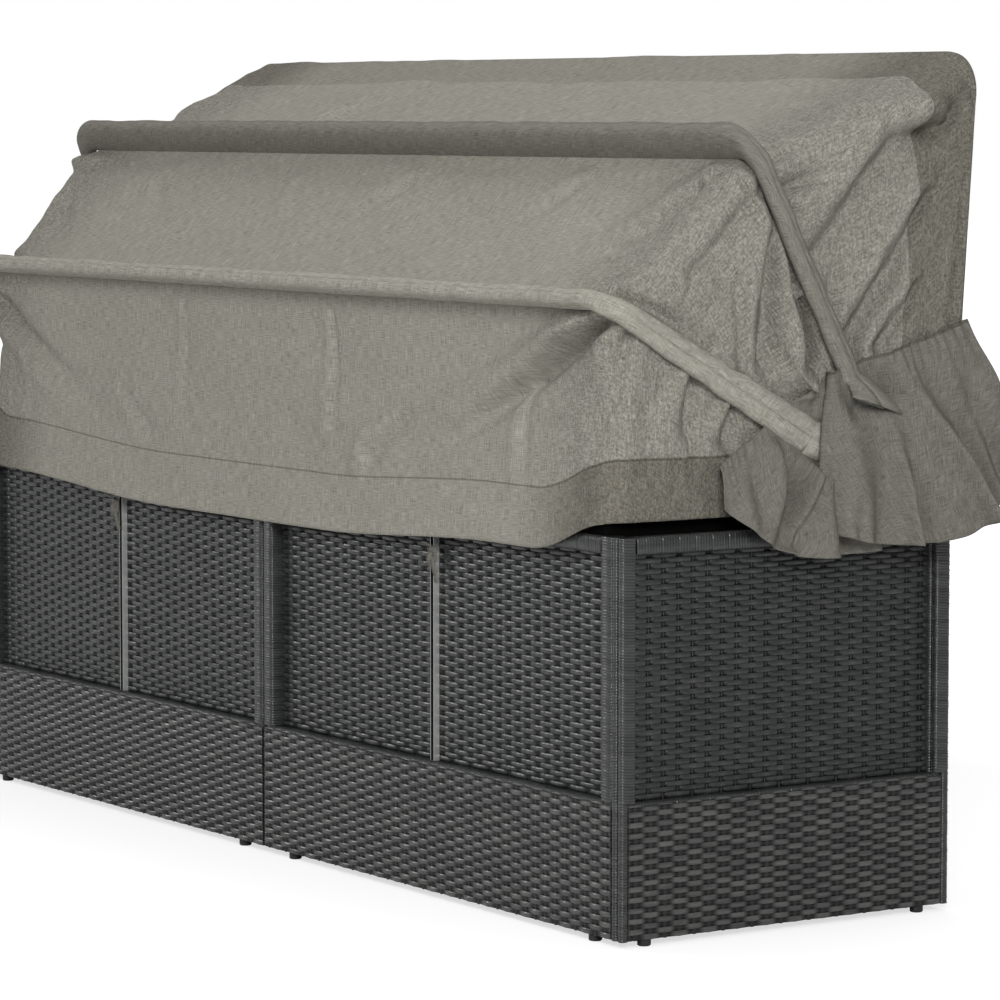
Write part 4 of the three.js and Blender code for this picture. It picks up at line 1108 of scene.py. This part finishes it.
def blown_cushion(size, flat_back):
    """A box of cloth blown up by the solver, then pressed flat where it rests, with its piping."""
    bm = bmesh.new()
    bmesh.ops.create_cube(bm, size=1)
    bmesh.ops.scale(bm, vec=Vector(size) - Vector((0.030, 0.034, 0.034)), verts=bm.verts)
    bmesh.ops.bevel(bm, geom=bm.edges, offset=0.018, segments=3, affect="EDGES", profile=0.5)
    pad = bpy.data.objects.new("pad", finished_mesh("pad", bm))
    scene.collection.objects.link(pad)
    remesh = pad.modifiers.new("remesh", "REMESH")
    remesh.mode = "VOXEL"
    remesh.voxel_size = 0.011
    start = bpy.data.meshes.new_from_object(pad.evaluated_get(bpy.context.evaluated_depsgraph_get()))
    pad.modifiers.clear()
    pad.data = start
    rest = np.array([v.co for v in start.vertices])
    cloth = pad.modifiers.new("cloth", "CLOTH")
    cloth.settings.use_pressure = True
    cloth.settings.uniform_pressure_force = 4
    cloth.settings.effector_weights.gravity = 0
    for step in range(1, 21):
        scene.frame_set(step)
    blown = pad.evaluated_get(bpy.context.evaluated_depsgraph_get())
    moved = np.array([v.co for v in blown.data.vertices])
    pad.modifiers.clear()
    scene.frame_set(1)
    shift = moved - rest
    far = np.linalg.norm(shift, axis=1)[:, None] + 1e-9
    points = rest + shift * 0.026 * np.tanh(far / 0.026) / far
    low, high = points.min(0), points.max(0)
    points = (points - (low + high) / 2) * (np.array(size) / (high - low))
    points[:, 2] -= 0.010 * (1 - (2 * points[:, 0] / size[0]) ** 2) * (points[:, 2] < 0)
    points[:, 2] = np.maximum(points[:, 2], -size[2] / 2 + 0.002)
    if flat_back:
        points[:, 1] = np.minimum(points[:, 1], size[1] / 2 - 0.010) + 0.009
    for v, point in zip(start.vertices, points):
        v.co = point
    bpy.data.objects.remove(pad)
    return start


def add_piping(bm, tree, size, axis, level):
    """A thin cord of the cover's cloth round a cushion, laid on its surface at one level."""
    flat = [i for i in range(3) if i != axis]
    half = [size[i] / 2 for i in flat]
    core = min(half) * 0.6
    points = []
    count = 300
    for k in range(count):
        turn = 2 * math.pi * k / count
        aim = [half[0] * math.copysign(abs(math.cos(turn)) ** 0.25, math.cos(turn)),
               half[1] * math.copysign(abs(math.sin(turn)) ** 0.25, math.sin(turn))]
        base = [math.copysign(min(abs(a), h - core), a) for a, h in zip(aim, half)]
        origin, target = Vector(), Vector()
        for i, a, b in zip(flat, aim, base):
            target[i] = a
            origin[i] = b
        origin[axis] = target[axis] = level
        hit = tree.ray_cast(origin, (target - origin).normalized())[0]
        if hit:
            points.append(hit)
    sides = 6
    rings = []
    for k, point in enumerate(points):
        ahead = (points[(k + 1) % len(points)] - points[k - 1]).normalized()
        up = Vector((0, 0, 0))
        up[axis] = 1
        out = ahead.cross(up).normalized()
        rings.append([
            bm.verts.new(point + (out * math.cos(a) + up * math.sin(a)) * PIPING)
            for a in (2 * math.pi * s / sides for s in range(sides))
        ])
    for k, ring in enumerate(rings):
        after = rings[(k + 1) % len(rings)]
        for s in range(sides):
            bm.faces.new((ring[s], ring[(s + 1) % sides], after[(s + 1) % sides], after[s]))


for kind, axis in (("seat", 2), ("back", 1)):
    low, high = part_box(f"{kind}_cushion_right")
    size = tuple(high - low)
    mesh = blown_cushion(size, kind == "back")
    for side, sign in SIDES:
        low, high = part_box(f"{kind}_cushion_{side}")
        bm = bmesh.new()
        bm.from_mesh(mesh)
        tree = BVHTree.FromBMesh(bm)
        for level in (-0.5, 0.5):
            add_piping(bm, tree, size, axis, level * (size[axis] - 0.040))
        bmesh.ops.scale(bm, vec=(sign, 1, 1), verts=bm.verts)
        bmesh.ops.translate(bm, vec=(low + high) / 2, verts=bm.verts)
        bmesh.ops.recalc_face_normals(bm, faces=bm.faces)
        cushion = new_piece(f"{kind}_pad_{side}", bm, cushion_cloth, "bench", smooth=True)
        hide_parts(f"{kind}_cushion_{side}")

# Floor and backdrop of a photographer's studio: the floor keeps the bench's shadow and fades to
# white, and four soft lamps light it from behind, from its near end and from above.
def by_camera(tree, hidden, seen, output):
    """Shows one shader to the camera and another to everything else."""
    camera_ray = shader_node(tree, "LightPath").outputs["Is Camera Ray"]
    choose = shader_node(tree, "MixShader", {0: camera_ray, 1: hidden.outputs[0], 2: seen.outputs[0]})
    shader_node(tree, output, {"Surface": choose.outputs[0]})


floor_bm = bmesh.new()
bmesh.ops.create_grid(floor_bm, x_segments=1, y_segments=1, size=30)
floor = bpy.data.objects.new("studio_floor", finished_mesh("studio_floor", floor_bm))
scene.collection.objects.link(floor)
floor_material, tree, shader = new_material("studio_floor")
floor.data.materials.append(floor_material)
tree.nodes.clear()
lit = shader_node(tree, "BsdfDiffuse", {"Color": (0.8, 0.8, 0.8, 1)})
seen = shader_node(tree, "BsdfDiffuse", {"Color": (0.5, 0.5, 0.5, 1)})
place = shader_node(tree, "TexCoord").outputs["Object"]
away = shader_node(tree, "VectorMath", {0: place}, operation="LENGTH").outputs["Value"]
glow = shader_node(tree, "Emission", {"Strength": remap(tree, away, (1.2, 3.5), (0.66, 1))})
both = shader_node(tree, "AddShader", {0: seen.outputs[0], 1: glow.outputs[0]})
by_camera(tree, lit, both, "OutputMaterial")

world = bpy.data.worlds.new("studio")
world.use_nodes = True
scene.world = world
world.node_tree.nodes.clear()
soft = shader_node(world.node_tree, "Background", {"Color": (1, 1, 1, 1), "Strength": 0.33})
white = shader_node(world.node_tree, "Background", {"Color": (1, 1, 1, 1), "Strength": 1})
by_camera(world.node_tree, soft, white, "OutputWorld")

for name, spot, size, power in (
    ("key", (-1.0, 5.2, 4.8), 2.0, 60),
    ("end_fill", (-4.9, 2.5, 2.4), 1.3, 166),
    ("back_glint", (4.6, 3.9, 2.2), 1.6, 56),
    ("top", (0.5, -0.8, 5.5), 3.0, 84),
):
    lamp_data = bpy.data.lights.new(name, "AREA")
    lamp_data.size = size
    lamp_data.energy = power
    lamp = bpy.data.objects.new(name, lamp_data)
    scene.collection.objects.link(lamp)
    lamp.location = spot
    lamp.rotation_euler = (Vector((0, 0, 0.5)) - Vector(spot)).to_track_quat("-Z", "Y").to_euler()
